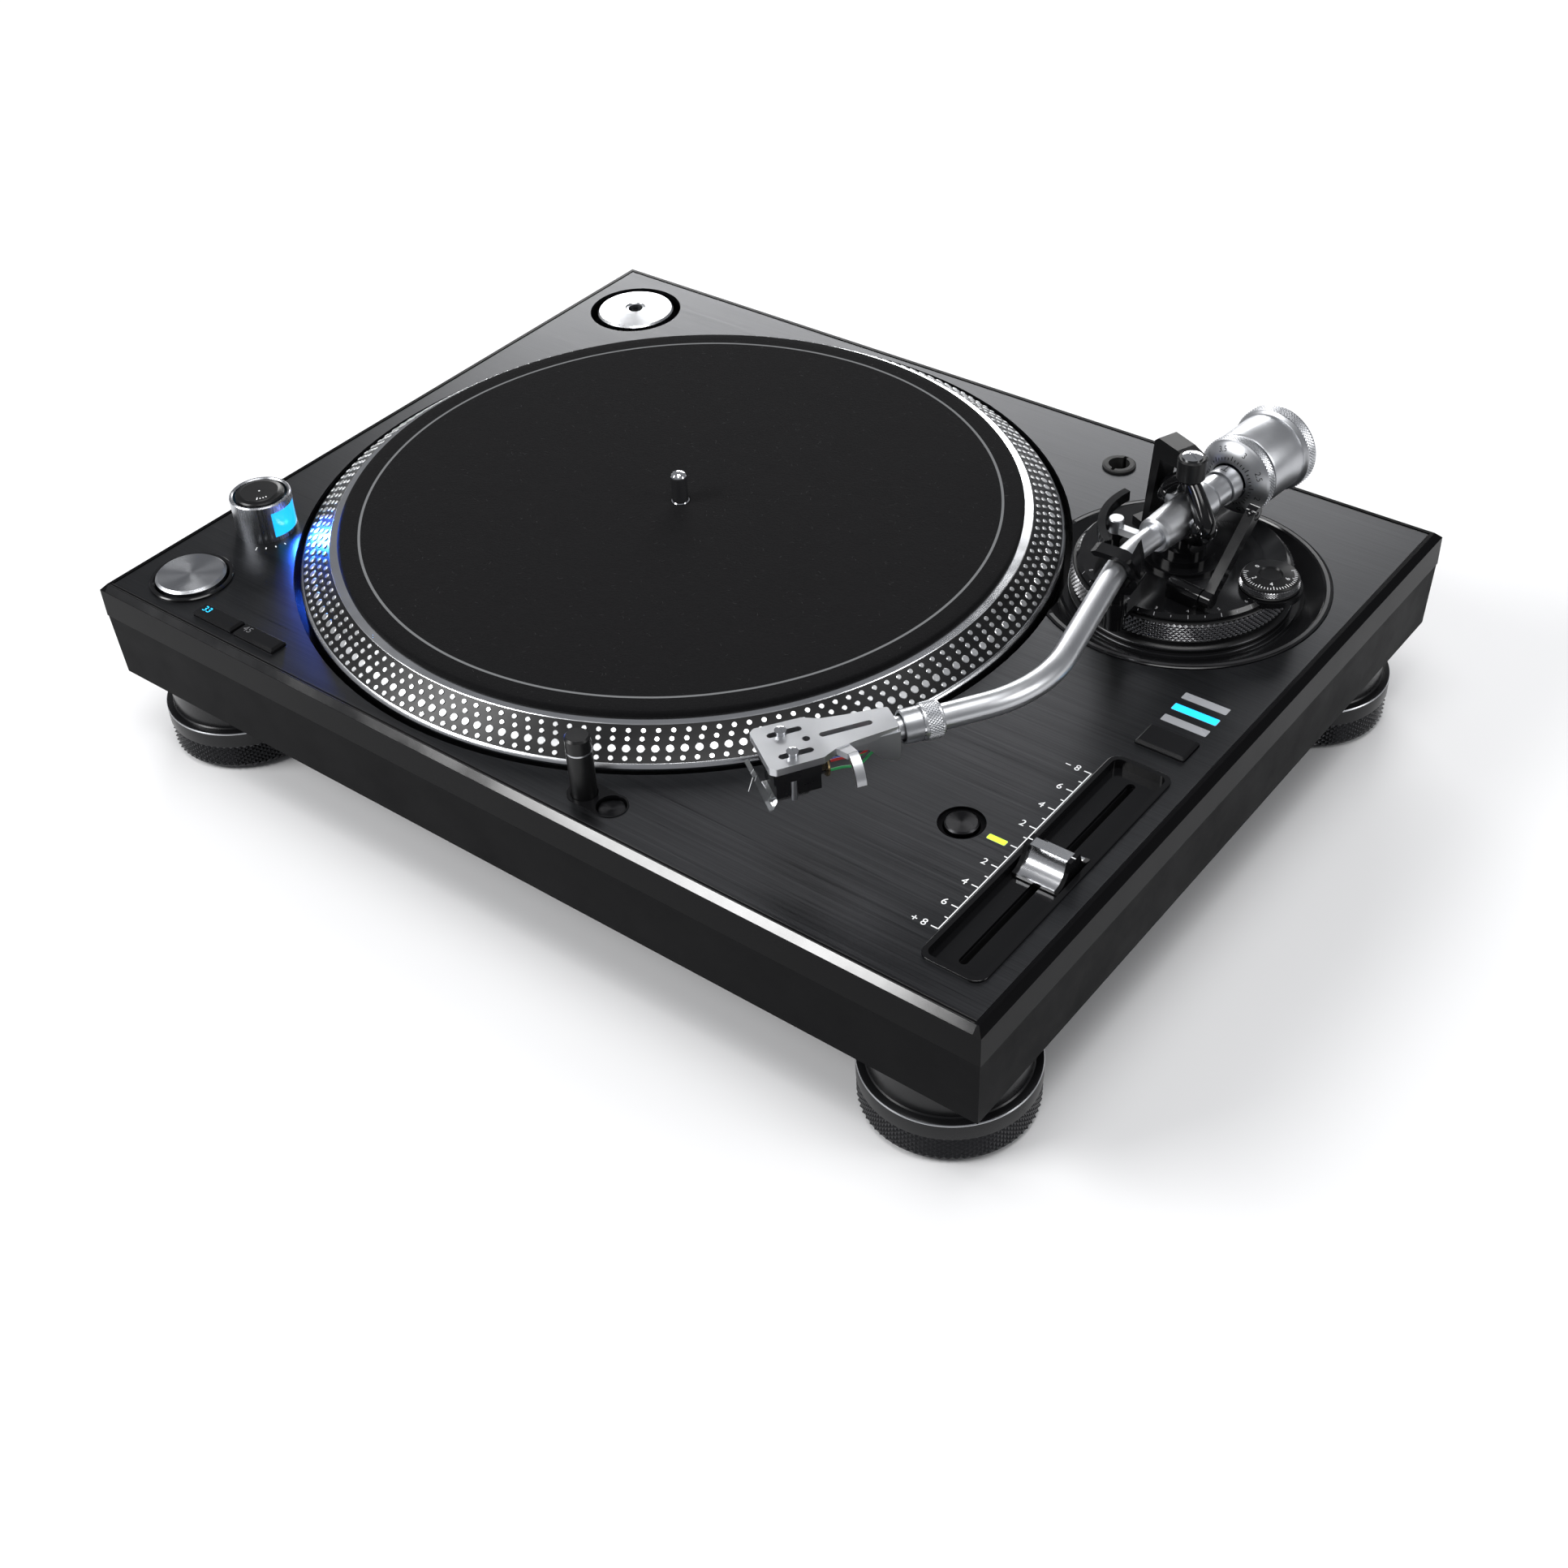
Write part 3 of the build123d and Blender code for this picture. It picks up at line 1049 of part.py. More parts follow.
def make_headshell():
    """Headshell: plug with its pins, slotted plate, web and finger lift."""
    plate_top, plate_low = 6.0, 3.0
    with BuildPart() as shell:
        with BuildSketch(shell_plane(plate_low)):
            with BuildLine():
                Polyline((SHELL_START, 6.0), (34.0, 7.6), (43.0, 9.0), (48.6, 12.0), (66.6, 12.4),
                         (SHELL_END, 10.6), (SHELL_END, -10.6), (66.6, -12.4), (48.6, -12.0),
                         (43.0, -9.0), (34.0, -7.6), (SHELL_START, -6.0), close=True)
            make_face()
        extrude(amount=plate_top - plate_low)
        fillet(shell.edges().filter_by(Axis.Z), radius=1.2)
        # plug and its locating pin
        with BuildSketch(cross_plane(shell_point(9.0), SHELL_HEADING)):
            Circle(4.4)
        extrude(amount=SHELL_START - 9.0 + 1.0)
        with BuildSketch(cross_plane(shell_point(SHELL_START), SHELL_HEADING)):
            Circle(6.0)
        extrude(amount=5.0)
        # side web that deepens towards the plug
        with BuildSketch(Plane(origin=shell_point(0, 4.2), x_dir=heading(SHELL_HEADING),
                               z_dir=SHELL_SIDE.z_dir)):
            with BuildLine():
                Polyline((SHELL_START, 4.0), (44.0, 4.0), (38.0, 1.0), (30.0, -0.6), (24.6, -6.0),
                         (21.0, -8.4), (SHELL_START, -8.4), close=True)
            make_face()
        extrude(amount=-2.6)
        # finger lift
        with BuildSketch(shell_plane(plate_low)):
            with BuildLine():
                Polyline((44.0, 7.4), (38.0, 7.0), (36.6, 12.6), (40.4, 13.0), close=True)
            make_face()
        extrude(amount=2.6)
        lift = Plane(origin=shell_point(36.4), x_dir=heading(SHELL_HEADING + 90),
                     z_dir=heading(SHELL_HEADING))
        with BuildSketch(lift):
            with BuildLine():
                ThreePointArc((12.0, 5.4), (18.4, 2.4), (21.4, -3.4))
                Line((21.4, -3.4), (19.8, -4.0))
                ThreePointArc((19.8, -4.0), (16.8, 1.0), (12.0, 3.2))
                Line((12.0, 3.2), (12.0, 5.4))
            make_face()
        extrude(amount=3.6)
        # cartridge slots, weight-saving slot and sighting hole
        with BuildSketch(shell_plane(0)):
            with Locations((57.0, 6.35), (57.0, -6.35)):
                SlotOverall(13.0, 2.7)
            with Locations((36.0, 0)):
                SlotOverall(20.0, 2.6)
            with Locations((51.0, 0)):
                Circle(1.4)
        extrude(amount=8.0, mode=Mode.SUBTRACT)
    save(shell, "headshell")


def make_cartridge():
    """Cartridge body with its four terminal pins."""
    with BuildPart() as cartridge:
        with BuildSketch(shell_plane(-4.6)):
            with Locations((57.4, 0)):
                Rectangle(18.0, 17.0)
        extrude(amount=7.6)
        with BuildSketch(shell_plane(-12.6)):
            with Locations((56.6, 0)):
                Rectangle(17.0, 13.0)
        extrude(amount=8.1)
        with BuildSketch(cross_plane(shell_point(43.4, 0, -6.6), SHELL_HEADING)):
            with GridLocations(5.6, 4.2, 2, 2):
                Circle(0.6)
        extrude(amount=6.0)
    with BuildPart() as bored:
        add(cartridge.part)
        with BuildSketch(shell_plane(-20)):
            with Locations((58.4, 6.35), (58.4, -6.35)):
                Circle(1.3)
        extrude(amount=40.0, mode=Mode.SUBTRACT)
    save(bored, "cartridge")


def make_stylus():
    """Stylus carrier with its clear visor, cantilever and tip."""
    with BuildPart() as stylus:
        with BuildSketch(shell_plane(-15.0)):
            with Locations((59.4, 0)):
                Rectangle(14.0, 9.6)
        extrude(amount=2.4)
        with BuildSketch(Plane(origin=shell_point(0, -5.0), x_dir=heading(SHELL_HEADING),
                               z_dir=SHELL_SIDE.z_dir)):
            with BuildLine():
                Polyline((65.0, -12.6), (64.4, -15.0), (66.2, -18.6), (67.6, -18.6), (73.0, -1.0),
                         (71.4, -0.6), (66.6, -12.6), close=True)
            make_face()
        extrude(amount=-10.0)
        with BuildSketch(shell_plane(-19.0)):
            with Locations((STYLUS_AT - 0.6, 0)):
                Rectangle(0.8, 0.8)
        extrude(amount=4.2)
    save(stylus, "stylus")


def make_cartridge_screws():
    """Two screws that clamp the cartridge in the headshell's slots, with their nuts."""
    with BuildPart() as screws:
        with BuildSketch(shell_plane(6.0)):
            with Locations((58.4, 6.35), (58.4, -6.35)):
                Circle(2.2)
        extrude(amount=1.3)
        with BuildSketch(shell_plane(-14.4)):
            with Locations((58.4, 6.35), (58.4, -6.35)):
                Circle(1.2)
        extrude(amount=20.5)
    save(screws, "cartridge_screws")


def lead_route(index):
    """Route of one cartridge lead from its pin to the headshell's rear block."""
    side = (-2.8, 2.8, -2.8, 2.8)[index]
    height = (-4.5, -4.5, -8.7, -8.7)[index]
    landing = (-1.4, -1.4, -4.4, -4.4)[index]
    return (shell_point(43.3, side, height), shell_point(38.5, side, height),
            shell_point(32.6, side * 1.15, height - 1.2), shell_point(27.4, side, landing - 1.0),
            shell_point(22.9, side * 0.65, landing))


def make_cartridge_leads():
    """Four leads between the cartridge's pins and the headshell's plug."""
    with BuildPart() as leads:
        for index in range(4):
            points = lead_route(index)
            radii = []
            for before, here, after in zip(points, points[1:], points[2:]):
                turn = (here - before).get_angle(after - here)
                shorter = min((here - before).length, (after - here).length)
                radii.append(0.45 * shorter / tan(radians(turn / 2)))
            with BuildLine() as line:
                FilletPolyline(*points, radius=radii)
            with BuildSketch(Plane(origin=line.line @ 0, z_dir=line.line % 0)):
                Circle(0.5)
            sweep(path=line.line)
    save(leads, "cartridge_leads")


def make_counterweight():
    """Counterweight on its threaded sleeve, and the stylus pressure dial in front of it."""
    def ring(points, name):
        with BuildPart() as solid:
            with BuildSketch(side_plane(arm_point(0), ARM_BEARING)):
                with BuildLine():
                    Polyline(*points, close=True)
                make_face()
            revolve(axis=Axis(arm_point(0), heading(ARM_BEARING)))
        save(solid, name)

    ring(((-41.0, 5.9), (-41.0, 7.4), (-66.0, 7.4), (-66.0, 5.9)), "weight_sleeve")
    ring(((-38.9, 7.5), (-38.9, 16.6), (-60.4, 16.6), (-60.4, 18.0), (-61.0, 18.4), (-66.0, 18.4),
          (-66.8, 17.6), (-66.8, 7.5)), "counterweight")
    ring(((-29.4, 8.1), (-29.4, 10.4), (-33.4, 16.4), (-34.0, 17.2), (-38.6, 17.2), (-38.6, 8.1)),
         "pressure_dial")


def make_cabinet():
    """Cabinet, feet and everything fixed inside it."""
    make_top_casing()
    make_deck_panel()
    make_base_shell()
    make_bottom_plate()
    make_bottom_screws()
    make_feet()
    make_main_board()
    make_power_supply()
    make_terminal_panel()
    make_mains_inlet()


def make_drive():
    """Platter, mat and direct-drive motor."""
    make_platter()
    make_slipmat()
    make_spindle()
    make_rotor_magnet()
    make_motor_stator()
    make_motor_bearing()


def make_controls():
    """Everything on the deck that is pressed, turned, slid or lit."""
    make_start_stop()
    make_keys()
    make_reset_button()
    make_indicator_lenses()
    make_tower()
    make_target_light()
    make_slider()
    make_adaptor()
    make_headshell_socket()


def make_tonearm():
    """Tonearm with its base, gimbal, headshell and counterweight."""
    make_tonearm_well()
    make_height_ring()
    make_arm_base()
    make_gimbal_bracket()
    make_arm_rest()
    make_arm_clip()
    make_lifter()
    make_cue_lever()
    make_anti_skate_dial()
    make_pivot_yoke()
    make_pivot_screws()
    make_arm_housing()
    make_rear_shaft()
    make_arm_tube()
    make_lock_collar()
    make_headshell()
    make_cartridge()
    make_stylus()
    make_cartridge_screws()
    make_cartridge_leads()
    make_counterweight()


make_cabinet()
make_drive()
make_controls()
make_tonearm()
tip = shell_point(STYLUS_AT)
print("effective length", round(hypot(tip.X - PIVOT[0], tip.Y - PIVOT[1]), 1),
      "pivot to spindle", round(hypot(PIVOT[0] - PLATTER[0], PIVOT[1] - PLATTER[1]), 1))
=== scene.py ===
import bpy
import json
import random
from math import atan2, cos, hypot, pi, radians, sin
from mathutils import Matrix, Vector, noise


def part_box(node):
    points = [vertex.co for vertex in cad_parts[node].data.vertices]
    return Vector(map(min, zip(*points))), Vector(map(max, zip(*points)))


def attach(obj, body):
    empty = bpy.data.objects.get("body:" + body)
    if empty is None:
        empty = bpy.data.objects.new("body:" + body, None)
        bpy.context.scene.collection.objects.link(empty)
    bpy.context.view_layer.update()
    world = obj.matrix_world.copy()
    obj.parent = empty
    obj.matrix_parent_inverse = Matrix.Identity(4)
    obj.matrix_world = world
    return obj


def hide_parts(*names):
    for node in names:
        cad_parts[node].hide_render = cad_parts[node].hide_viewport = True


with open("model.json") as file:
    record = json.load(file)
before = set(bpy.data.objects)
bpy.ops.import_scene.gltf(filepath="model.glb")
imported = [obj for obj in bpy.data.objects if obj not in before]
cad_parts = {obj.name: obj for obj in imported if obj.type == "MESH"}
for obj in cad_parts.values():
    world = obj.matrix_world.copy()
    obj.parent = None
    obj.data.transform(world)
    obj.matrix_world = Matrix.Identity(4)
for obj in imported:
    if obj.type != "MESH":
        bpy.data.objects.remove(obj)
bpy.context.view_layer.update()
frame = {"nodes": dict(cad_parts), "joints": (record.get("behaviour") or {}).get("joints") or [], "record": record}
NODES = frame["nodes"]
MM = 0.001
MAT_RADIUS = 148.2        # millimetres, like every size below that MM scales
MAT_HOLE = 4.3
MAT_LINE = 138.8
RIM_BEVEL = 2.7
DIGIT_RAISE = 0.04
random.seed(7)

# ------------------------------------------------------------------ places, from the CAD
def middle(node):
    """Centre of a CAD node's box."""
    low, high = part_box(node)
    return (low + high) / 2


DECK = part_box("top_casing")[1].z
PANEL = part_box("deck_panel")[1].z
PLATTER = middle("platter").to_2d()
JOINTS = {j["name"]: j for j in frame["joints"]}
PIVOT = Vector(JOINTS["tonearm_swing"]["pos_m"])
ARM_DIR = Vector(JOINTS["weight_travel"]["axis"])
SHELL_DIR = Vector(JOINTS["collar_turn"]["axis"])
COLLAR = Vector(JOINTS["collar_turn"]["pos_m"])
GIMBAL_DIR = Vector(JOINTS["tonearm_lift"]["axis"])
UP = Vector((0, 0, 1))


def show(obj):
    """Put an object into the scene."""
    bpy.context.scene.collection.objects.link(obj)


# ------------------------------------------------------------------ material building
class Finish:
    """A procedural material: a principled shader with helpers for its textures."""

    def __init__(self, name, color, metallic=0.0, rough=0.4, coat=0.0, sheen=0.0, ior=1.5, transmission=0.0):
        self.mat = bpy.data.materials.new(name)
        self.mat.use_nodes = True
        self.tree = self.mat.node_tree
        self.shader = self.tree.nodes["Principled BSDF"]
        self.color = (*color, 1.0)
        for socket, value in (("Base Color", self.color), ("Metallic", metallic), ("Roughness", rough),
                              ("Coat Weight", coat), ("Coat Roughness", 0.1), ("Sheen Weight", sheen),
                              ("IOR", ior), ("Transmission Weight", transmission)):
            self.shader.inputs[socket].default_value = value
        self.height = None
        self.coords = self.node("ShaderNodeTexCoord").outputs["Object"]

    def node(self, kind, **values):
        n = self.tree.nodes.new(kind)
        for key, value in values.items():
            setattr(n, key, value)
        return n

    def link(self, a, b):
        self.tree.links.new(a, b)

    def noise(self, scale, detail=5.0, rough=0.6, stretch=(1, 1, 1), coords=None):
        mapping = self.node("ShaderNodeMapping")
        mapping.inputs["Scale"].default_value = stretch
        self.link(coords or self.coords, mapping.inputs["Vector"])
        n = self.node("ShaderNodeTexNoise")
        n.inputs["Scale"].default_value = scale
        n.inputs["Detail"].default_value = detail
        n.inputs["Roughness"].default_value = rough
        self.link(mapping.outputs["Vector"], n.inputs["Vector"])
        return n.outputs["Fac"]

    def math(self, operation, a, b=0.0, c=None):
        n = self.node("ShaderNodeMath", operation=operation)
        for i, value in enumerate((a, b) if c is None else (a, b, c)):
            if isinstance(value, (int, float)):
                n.inputs[i].default_value = value
            else:
                self.link(value, n.inputs[i])
        return n.outputs[0]

    def remap(self, value, low, high, start=0.3, end=0.7):
        n = self.node("ShaderNodeMapRange")
        n.inputs["From Min"].default_value = start
        n.inputs["From Max"].default_value = end
        n.inputs["To Min"].default_value = low
        n.inputs["To Max"].default_value = high
        self.link(value, n.inputs["Value"])
        return n.outputs["Result"]

    def mix(self, factor, a, b):
        n = self.node("ShaderNodeMix", data_type="RGBA")
        for socket, value in ((0, factor), (6, a), (7, b)):
            if isinstance(value, tuple):
                n.inputs[socket].default_value = value if len(value) == 4 else (*value, 1.0)
            elif isinstance(value, (int, float)):
                n.inputs[socket].default_value = value
            else:
                self.link(value, n.inputs[socket])
        return n.outputs[2]

    def tint(self, factor, color):
        """Mix the base colour towards another by a texture."""
        source = self.shader.inputs["Base Color"]
        current = source.links[0].from_socket if source.links else self.color
        self.link(self.mix(factor, current, color), source)
        return self

    def roughness(self, value, low, high, start=0.3, end=0.7):
        self.link(self.remap(value, low, high, start, end), self.shader.inputs["Roughness"])
        return self

    def bump(self, value, strength, distance):
        n = self.node("ShaderNodeBump")
        n.inputs["Strength"].default_value = strength
        n.inputs["Distance"].default_value = distance
        self.link(value, n.inputs["Height"])
        if self.height:
            self.link(self.height, n.inputs["Normal"])
        self.height = n.outputs["Normal"]
        self.link(self.height, self.shader.inputs["Normal"])
        return self

    def glow(self, color, strength):
        self.shader.inputs["Emission Color"].default_value = (*color, 1.0)
        self.shader.inputs["Emission Strength"].default_value = strength
        return self

    def radius(self, centre):
        """Distance from an upright line through a point, and the flat offset from it."""
        shift = self.node("ShaderNodeVectorMath", operation="SUBTRACT")
        self.link(self.coords, shift.inputs[0])
        shift.inputs[1].default_value = centre
        flat = self.node("ShaderNodeVectorMath", operation="MULTIPLY")
        self.link(shift.outputs[0], flat.inputs[0])
        flat.inputs[1].default_value = (1.0, 1.0, 0.0)
        size = self.node("ShaderNodeVectorMath", operation="LENGTH")
        self.link(flat.outputs[0], size.inputs[0])
        return size.outputs["Value"], flat.outputs[0]

    def rings(self, centre, pitch, jitter=0.3):
        """Turned rings round a vertical line, uneven like tool marks."""
        distance, flat = self.radius(centre)
        wobble = self.noise(1.0, 3.0, coords=flat, stretch=(900, 900, 900))
        phase = self.math("MULTIPLY_ADD", distance, 2 * pi / pitch, self.math("MULTIPLY", wobble, jitter * 6))
        return self.math("SINE", phase)


def grain(finish, scale=900.0, strength=0.25, distance=0.00005, spread=0.08):
    """Fine cast or moulded grain with a slowly changing sheen."""
    base = finish.shader.inputs["Roughness"].default_value
    finish.roughness(finish.noise(38.0, 6.0), max(0.03, base - spread), min(1.0, base + spread))
    return finish.bump(finish.noise(scale, 4.0), strength, distance)


def brushed(name, color, rough, along=(14, 1500, 1500), depth=0.00002, contrast=0.35):
    """Metal brushed in one direction."""
    f = Finish(name, color, 1.0, rough)
    lines = f.noise(1.0, 8.0, 0.75, along)
    fine = f.noise(1.0, 4.0, 0.7, tuple(3.1 * v for v in along))
    f.tint(f.remap(lines, 0.0, contrast), tuple(min(1.0, c * 2.1 + 0.01) for c in color))
    f.tint(f.remap(fine, 0.0, contrast * 0.6), tuple(c * 0.4 for c in color))
    f.roughness(lines, rough - 0.06, rough + 0.1)
    return f.bump(lines, 0.35, depth)


def metal(name, color, rough, scratch=0.3, spread=0.05, coat=0.0):
    """Bare metal with a cloudy sheen and fine scratches."""
    f = Finish(name, color, 1.0, rough, coat)
    cloud = f.noise(60.0, 6.0)
    f.roughness(cloud, max(0.02, rough - spread), rough + spread)
    f.tint(f.remap(f.noise(140.0, 6.0), 0.0, 0.12), tuple(c * 0.7 for c in color))
    return f.bump(f.noise(2600.0, 3.0), scratch, 0.00001)


def printed(name, color, strength=0.0):
    """Matt ink, or a lit lens when it has a strength."""
    f = Finish(name, color, 0.0, 0.5)
    f.roughness(f.noise(1500.0, 4.0), 0.4, 0.62)
    f.bump(f.noise(3000.0, 3.0), 0.2, 0.00001)
    return f.glow(color, strength) if strength else f


def round_grain(finish, amount):
    """Stretch the highlights across the turning marks, as on a part faced on a lathe."""
    tangent = finish.node("ShaderNodeTangent", direction_type="RADIAL", axis="Z")
    finish.link(tangent.outputs["Tangent"], finish.shader.inputs["Tangent"])
    finish.shader.inputs["Anisotropic"].default_value = amount
    return finish


def spun(name, color, node, rough=0.24, pitch=0.00035):
    """Metal faced on a lathe, with fine rings round the middle of a node."""
    f = Finish(name, color, 1.0, rough)
    rings = f.rings(middle(node), pitch)
    f.roughness(rings, rough - 0.05, rough + 0.07, -1.0, 1.0)
    f.tint(f.remap(rings, 0.0, 0.18, -1.0, 1.0), tuple(c * 0.55 for c in color))
    round_grain(f, 0.85)
    return f.bump(rings, 0.3, 0.00001)


CYAN = (0.01, 0.52, 0.95)
deck = brushed("deck_brushed_black", (0.040, 0.041, 0.044), 0.33, (9, 1300, 1300), 0.000014, 0.5)
deck.tint(deck.remap(deck.noise(3.2, 3.0), 0.0, 0.25), (0.052, 0.053, 0.057))
casing = grain(Finish("casing_black_lacquer", (0.004, 0.004, 0.0044), 0.0, 0.24, ior=1.13), 1400.0, 0.1,
               0.00002, 0.04)
shell = grain(Finish("shell_black_matt", (0.0055, 0.0055, 0.006), 0.0, 0.46, ior=1.1), 1600.0, 0.5, 0.00005,
              0.06)
foot = grain(Finish("foot_black", (0.011, 0.011, 0.012), 0.25, 0.3, ior=1.42), 1500.0, 0.2, 0.00002, 0.06)
gloss = grain(Finish("gloss_black", (0.005, 0.005, 0.0055), 0.0, 0.13, ior=1.42), 700.0, 0.1, 0.00001, 0.04)
satin = grain(Finish("satin_black", (0.008, 0.008, 0.0085), 0.15, 0.33, ior=1.38), 1500.0, 0.2, 0.00002, 0.06)
knurled = grain(Finish("knurled_black", (0.17, 0.17, 0.175), 1.0, 0.22), 1500.0, 0.1, 0.00001, 0.05)
foot_knurl = grain(Finish("foot_knurl_black", (0.06, 0.06, 0.063), 0.85, 0.24), 1500.0, 0.1, 0.00001, 0.05)
rim_polish = grain(Finish("rim_polish", (0.006, 0.006, 0.0065), 0.0, 0.13, ior=1.65), 1400.0, 0.1, 0.00001,
                   0.04)
dot_alloy = metal("dot_alloy", (0.86, 0.87, 0.88), 0.34, 0.05)
band = grain(Finish("platter_band_black", (0.007, 0.007, 0.0075), 0.1, 0.34, ior=1.4), 1500.0, 0.15, 0.00002,
             0.05)
alloy = metal("polished_alloy", (0.80, 0.81, 0.83), 0.16)
lip = round_grain(metal("turned_lip", (0.80, 0.81, 0.83), 0.2), 0.8)
silver = metal("satin_silver", (0.62, 0.63, 0.65), 0.34, 0.1)
weight_silver = metal("weight_silver", (0.54, 0.55, 0.57), 0.36, 0.12)
chrome = metal("chrome", (0.82, 0.83, 0.85), 0.06, 0.06, 0.02)
cap_chrome = metal("cap_chrome", (0.86, 0.87, 0.89), 0.2, 0.05, 0.03)
steel = metal("steel", (0.52, 0.53, 0.55), 0.3, 0.3)
tower_steel = brushed("tower_steel", (0.42, 0.43, 0.45), 0.26, (1500, 1500, 18), 0.00001, 0.2)
plate = grain(Finish("plate_grey", (0.05, 0.05, 0.052), 0.6, 0.42), 1500.0, 0.2, 0.00002)
rubber = grain(Finish("rubber", (0.012, 0.012, 0.012), 0.0, 0.62), 1400.0, 0.5, 0.00005, 0.1)
inlet = grain(Finish("inlet_plastic", (0.013, 0.013, 0.014), 0.0, 0.45), 1500.0, 0.4, 0.00004)
board = grain(Finish("board_green", (0.015, 0.11, 0.05), 0.0, 0.4), 500.0, 0.3, 0.00005)
copper = metal("copper", (0.62, 0.28, 0.14), 0.3)
brass = metal("brass", (0.66, 0.50, 0.26), 0.26)
iron = metal("iron", (0.20, 0.20, 0.21), 0.45, 0.5)
body_black = grain(Finish("cartridge_black", (0.009, 0.009, 0.010), 0.0, 0.24, 0.2), 900.0, 0.2, 0.00002)
lens_grey = grain(Finish("lens_grey", (0.34, 0.35, 0.37), 0.0, 0.28, 0.2), 900.0, 0.2, 0.00002)
spun_start = spun("spun_start", (0.50, 0.51, 0.53), "start_stop_button")
spun_adaptor = spun("spun_adaptor", (0.66, 0.67, 0.69), "single_adaptor", 0.22, 0.0003)
spun_reset = spun("spun_reset", (0.035, 0.035, 0.037), "reset_button", 0.26, 0.0003)
spun_light = spun("spun_light", (0.035, 0.035, 0.037), "target_light_button", 0.22, 0.0003)
dark_print = printed("print_black", (0.012, 0.012, 0.012))
white_print = printed("print_white", (0.86, 0.87, 0.88))
grey_print = printed("print_grey", (0.10, 0.10, 0.105))
dim_print = printed("print_dim", (0.30, 0.30, 0.31))
cyan_print = printed("print_cyan_lit", CYAN, 0.8)
green_lit = printed("lens_green_lit", (0.42, 0.62, 0.02), 1.0)
cyan_lit = printed("lens_cyan_lit", CYAN, 0.85)

window = Finish("window_lit", (0.02, 0.35, 0.7), 0.0, 0.15, 0.3)
window_noise = window.noise(260.0, 3.0)
window.roughness(window_noise, 0.1, 0.25)
window.bump(window_noise, 0.2, 0.00003)
window.glow(CYAN, 1.0)

visor = Finish("visor_clear", (0.93, 0.95, 0.96), 0.0, 0.05, ior=1.46, transmission=0.95)
visor.roughness(visor.noise(300.0, 5.0), 0.03, 0.12)
visor.bump(visor.noise(900.0, 4.0), 0.1, 0.00001)

wires = Finish("wire_colours", (0.8, 0.8, 0.78), 0.0, 0.35)
along_shell = wires.node("ShaderNodeVectorMath", operation="SUBTRACT")
along_shell.inputs[1].default_value = COLLAR
wires.link(wires.coords, along_shell.inputs[0])


def part_of(vector, direction):
    """Length of a vector along a direction, in the leads' material."""
    n = wires.node("ShaderNodeVectorMath", operation="DOT_PRODUCT")
    wires.link(vector, n.inputs[0])
    n.inputs[1].default_value = direction
    return n.outputs["Value"]


forward = part_of(along_shell.outputs[0], SHELL_DIR)
sideways = part_of(along_shell.outputs[0], UP.cross(SHELL_DIR))
upward = part_of(along_shell.outputs[0], UP)
divide = wires.math("MULTIPLY_ADD", forward, -0.18, 0.0012)
is_upper = wires.math("GREATER_THAN", upward, divide)
is_right = wires.math("GREATER_THAN", sideways, 0.0)
left_pair = wires.mix(is_upper, (0.02, 0.09, 0.55), (0.82, 0.82, 0.80))
right_pair = wires.mix(is_upper, (0.03, 0.42, 0.12), (0.62, 0.03, 0.03))
wires.link(wires.mix(is_right, left_pair, right_pair), wires.shader.inputs["Base Color"])
wires.bump(wires.noise(2500.0, 3.0), 0.2, 0.00001)
wires.roughness(wires.noise(300.0, 3.0), 0.28, 0.45)

felt = Finish("felt_black", (0.0034, 0.0034, 0.0038), 0.0, 0.95, sheen=0.03, ior=1.12)
fluff = felt.noise(900.0, 9.0, 0.75)
clumps = felt.noise(150.0, 8.0, 0.7)
felt.tint(felt.remap(fluff, 0.0, 0.6), (0.0105, 0.0105, 0.0112))
felt.tint(felt.remap(clumps, 0.0, 0.3), (0.0075, 0.0075, 0.008))
felt.roughness(fluff, 0.85, 1.0)
felt.bump(fluff, 0.9, 0.0003)
felt.bump(clumps, 0.4, 0.0003)
reach, _ = felt.radius((PLATTER.x, PLATTER.y, 0.0))
line = felt.math("COMPARE", reach, MAT_LINE * MM, 0.00055)
felt.tint(felt.math("MULTIPLY", line, 0.8), (0.20, 0.205, 0.21))

SLOTS = {
    "cast_black": casing, "deck_brushed": deck, "base_black": shell, "foot_black": foot,
    "plate_steel": plate, "screw_steel": steel, "chrome": chrome, "platter_aluminium": alloy,
    "felt": felt, "rotor_steel": iron, "stator_copper": copper, "bearing_brass": brass,
    "circuit": board, "black_gloss": gloss, "black_satin": satin, "silver_spun": spun_start,
    "tower_steel": tower_steel, "window_lit": window, "lens": lens_grey, "rubber_black": rubber,
    "arm_silver": silver, "weight_silver": weight_silver, "cartridge_black": body_black,
    "visor_clear": visor, "lead_wire": wires, "socket_panel": steel, "inlet_black": inlet,
}
OWN_FINISH = {"single_adaptor": spun_adaptor, "reset_button": spun_reset, "target_light_button": spun_light,
              "target_lamp": satin, "cue_lever": gloss, "arm_base": gloss, "tonearm_well": gloss,
              "slider_tray": gloss, "slider_cap": cap_chrome}
SLOT_OF = {s["node"]: s["material_slot"] for s in frame["record"]["subparts"]}
for node, obj in NODES.items():
    finish = OWN_FINISH.get(node, SLOTS[SLOT_OF[node]])
    obj.data.materials.clear()
    obj.data.materials.append(finish.mat)


# ------------------------------------------------------------------ CAD nodes' edges
def soften(node, width, segments=3, angle=35.0):
    """Round the sharp edges of a CAD node a little, so that they catch light."""
    bevel = NODES[node].modifiers.new("edge", "BEVEL")
    bevel.width = width * MM
    bevel.segments = segments
    bevel.limit_method = "ANGLE"
    bevel.angle_limit = radians(angle)
    bevel.harden_normals = True


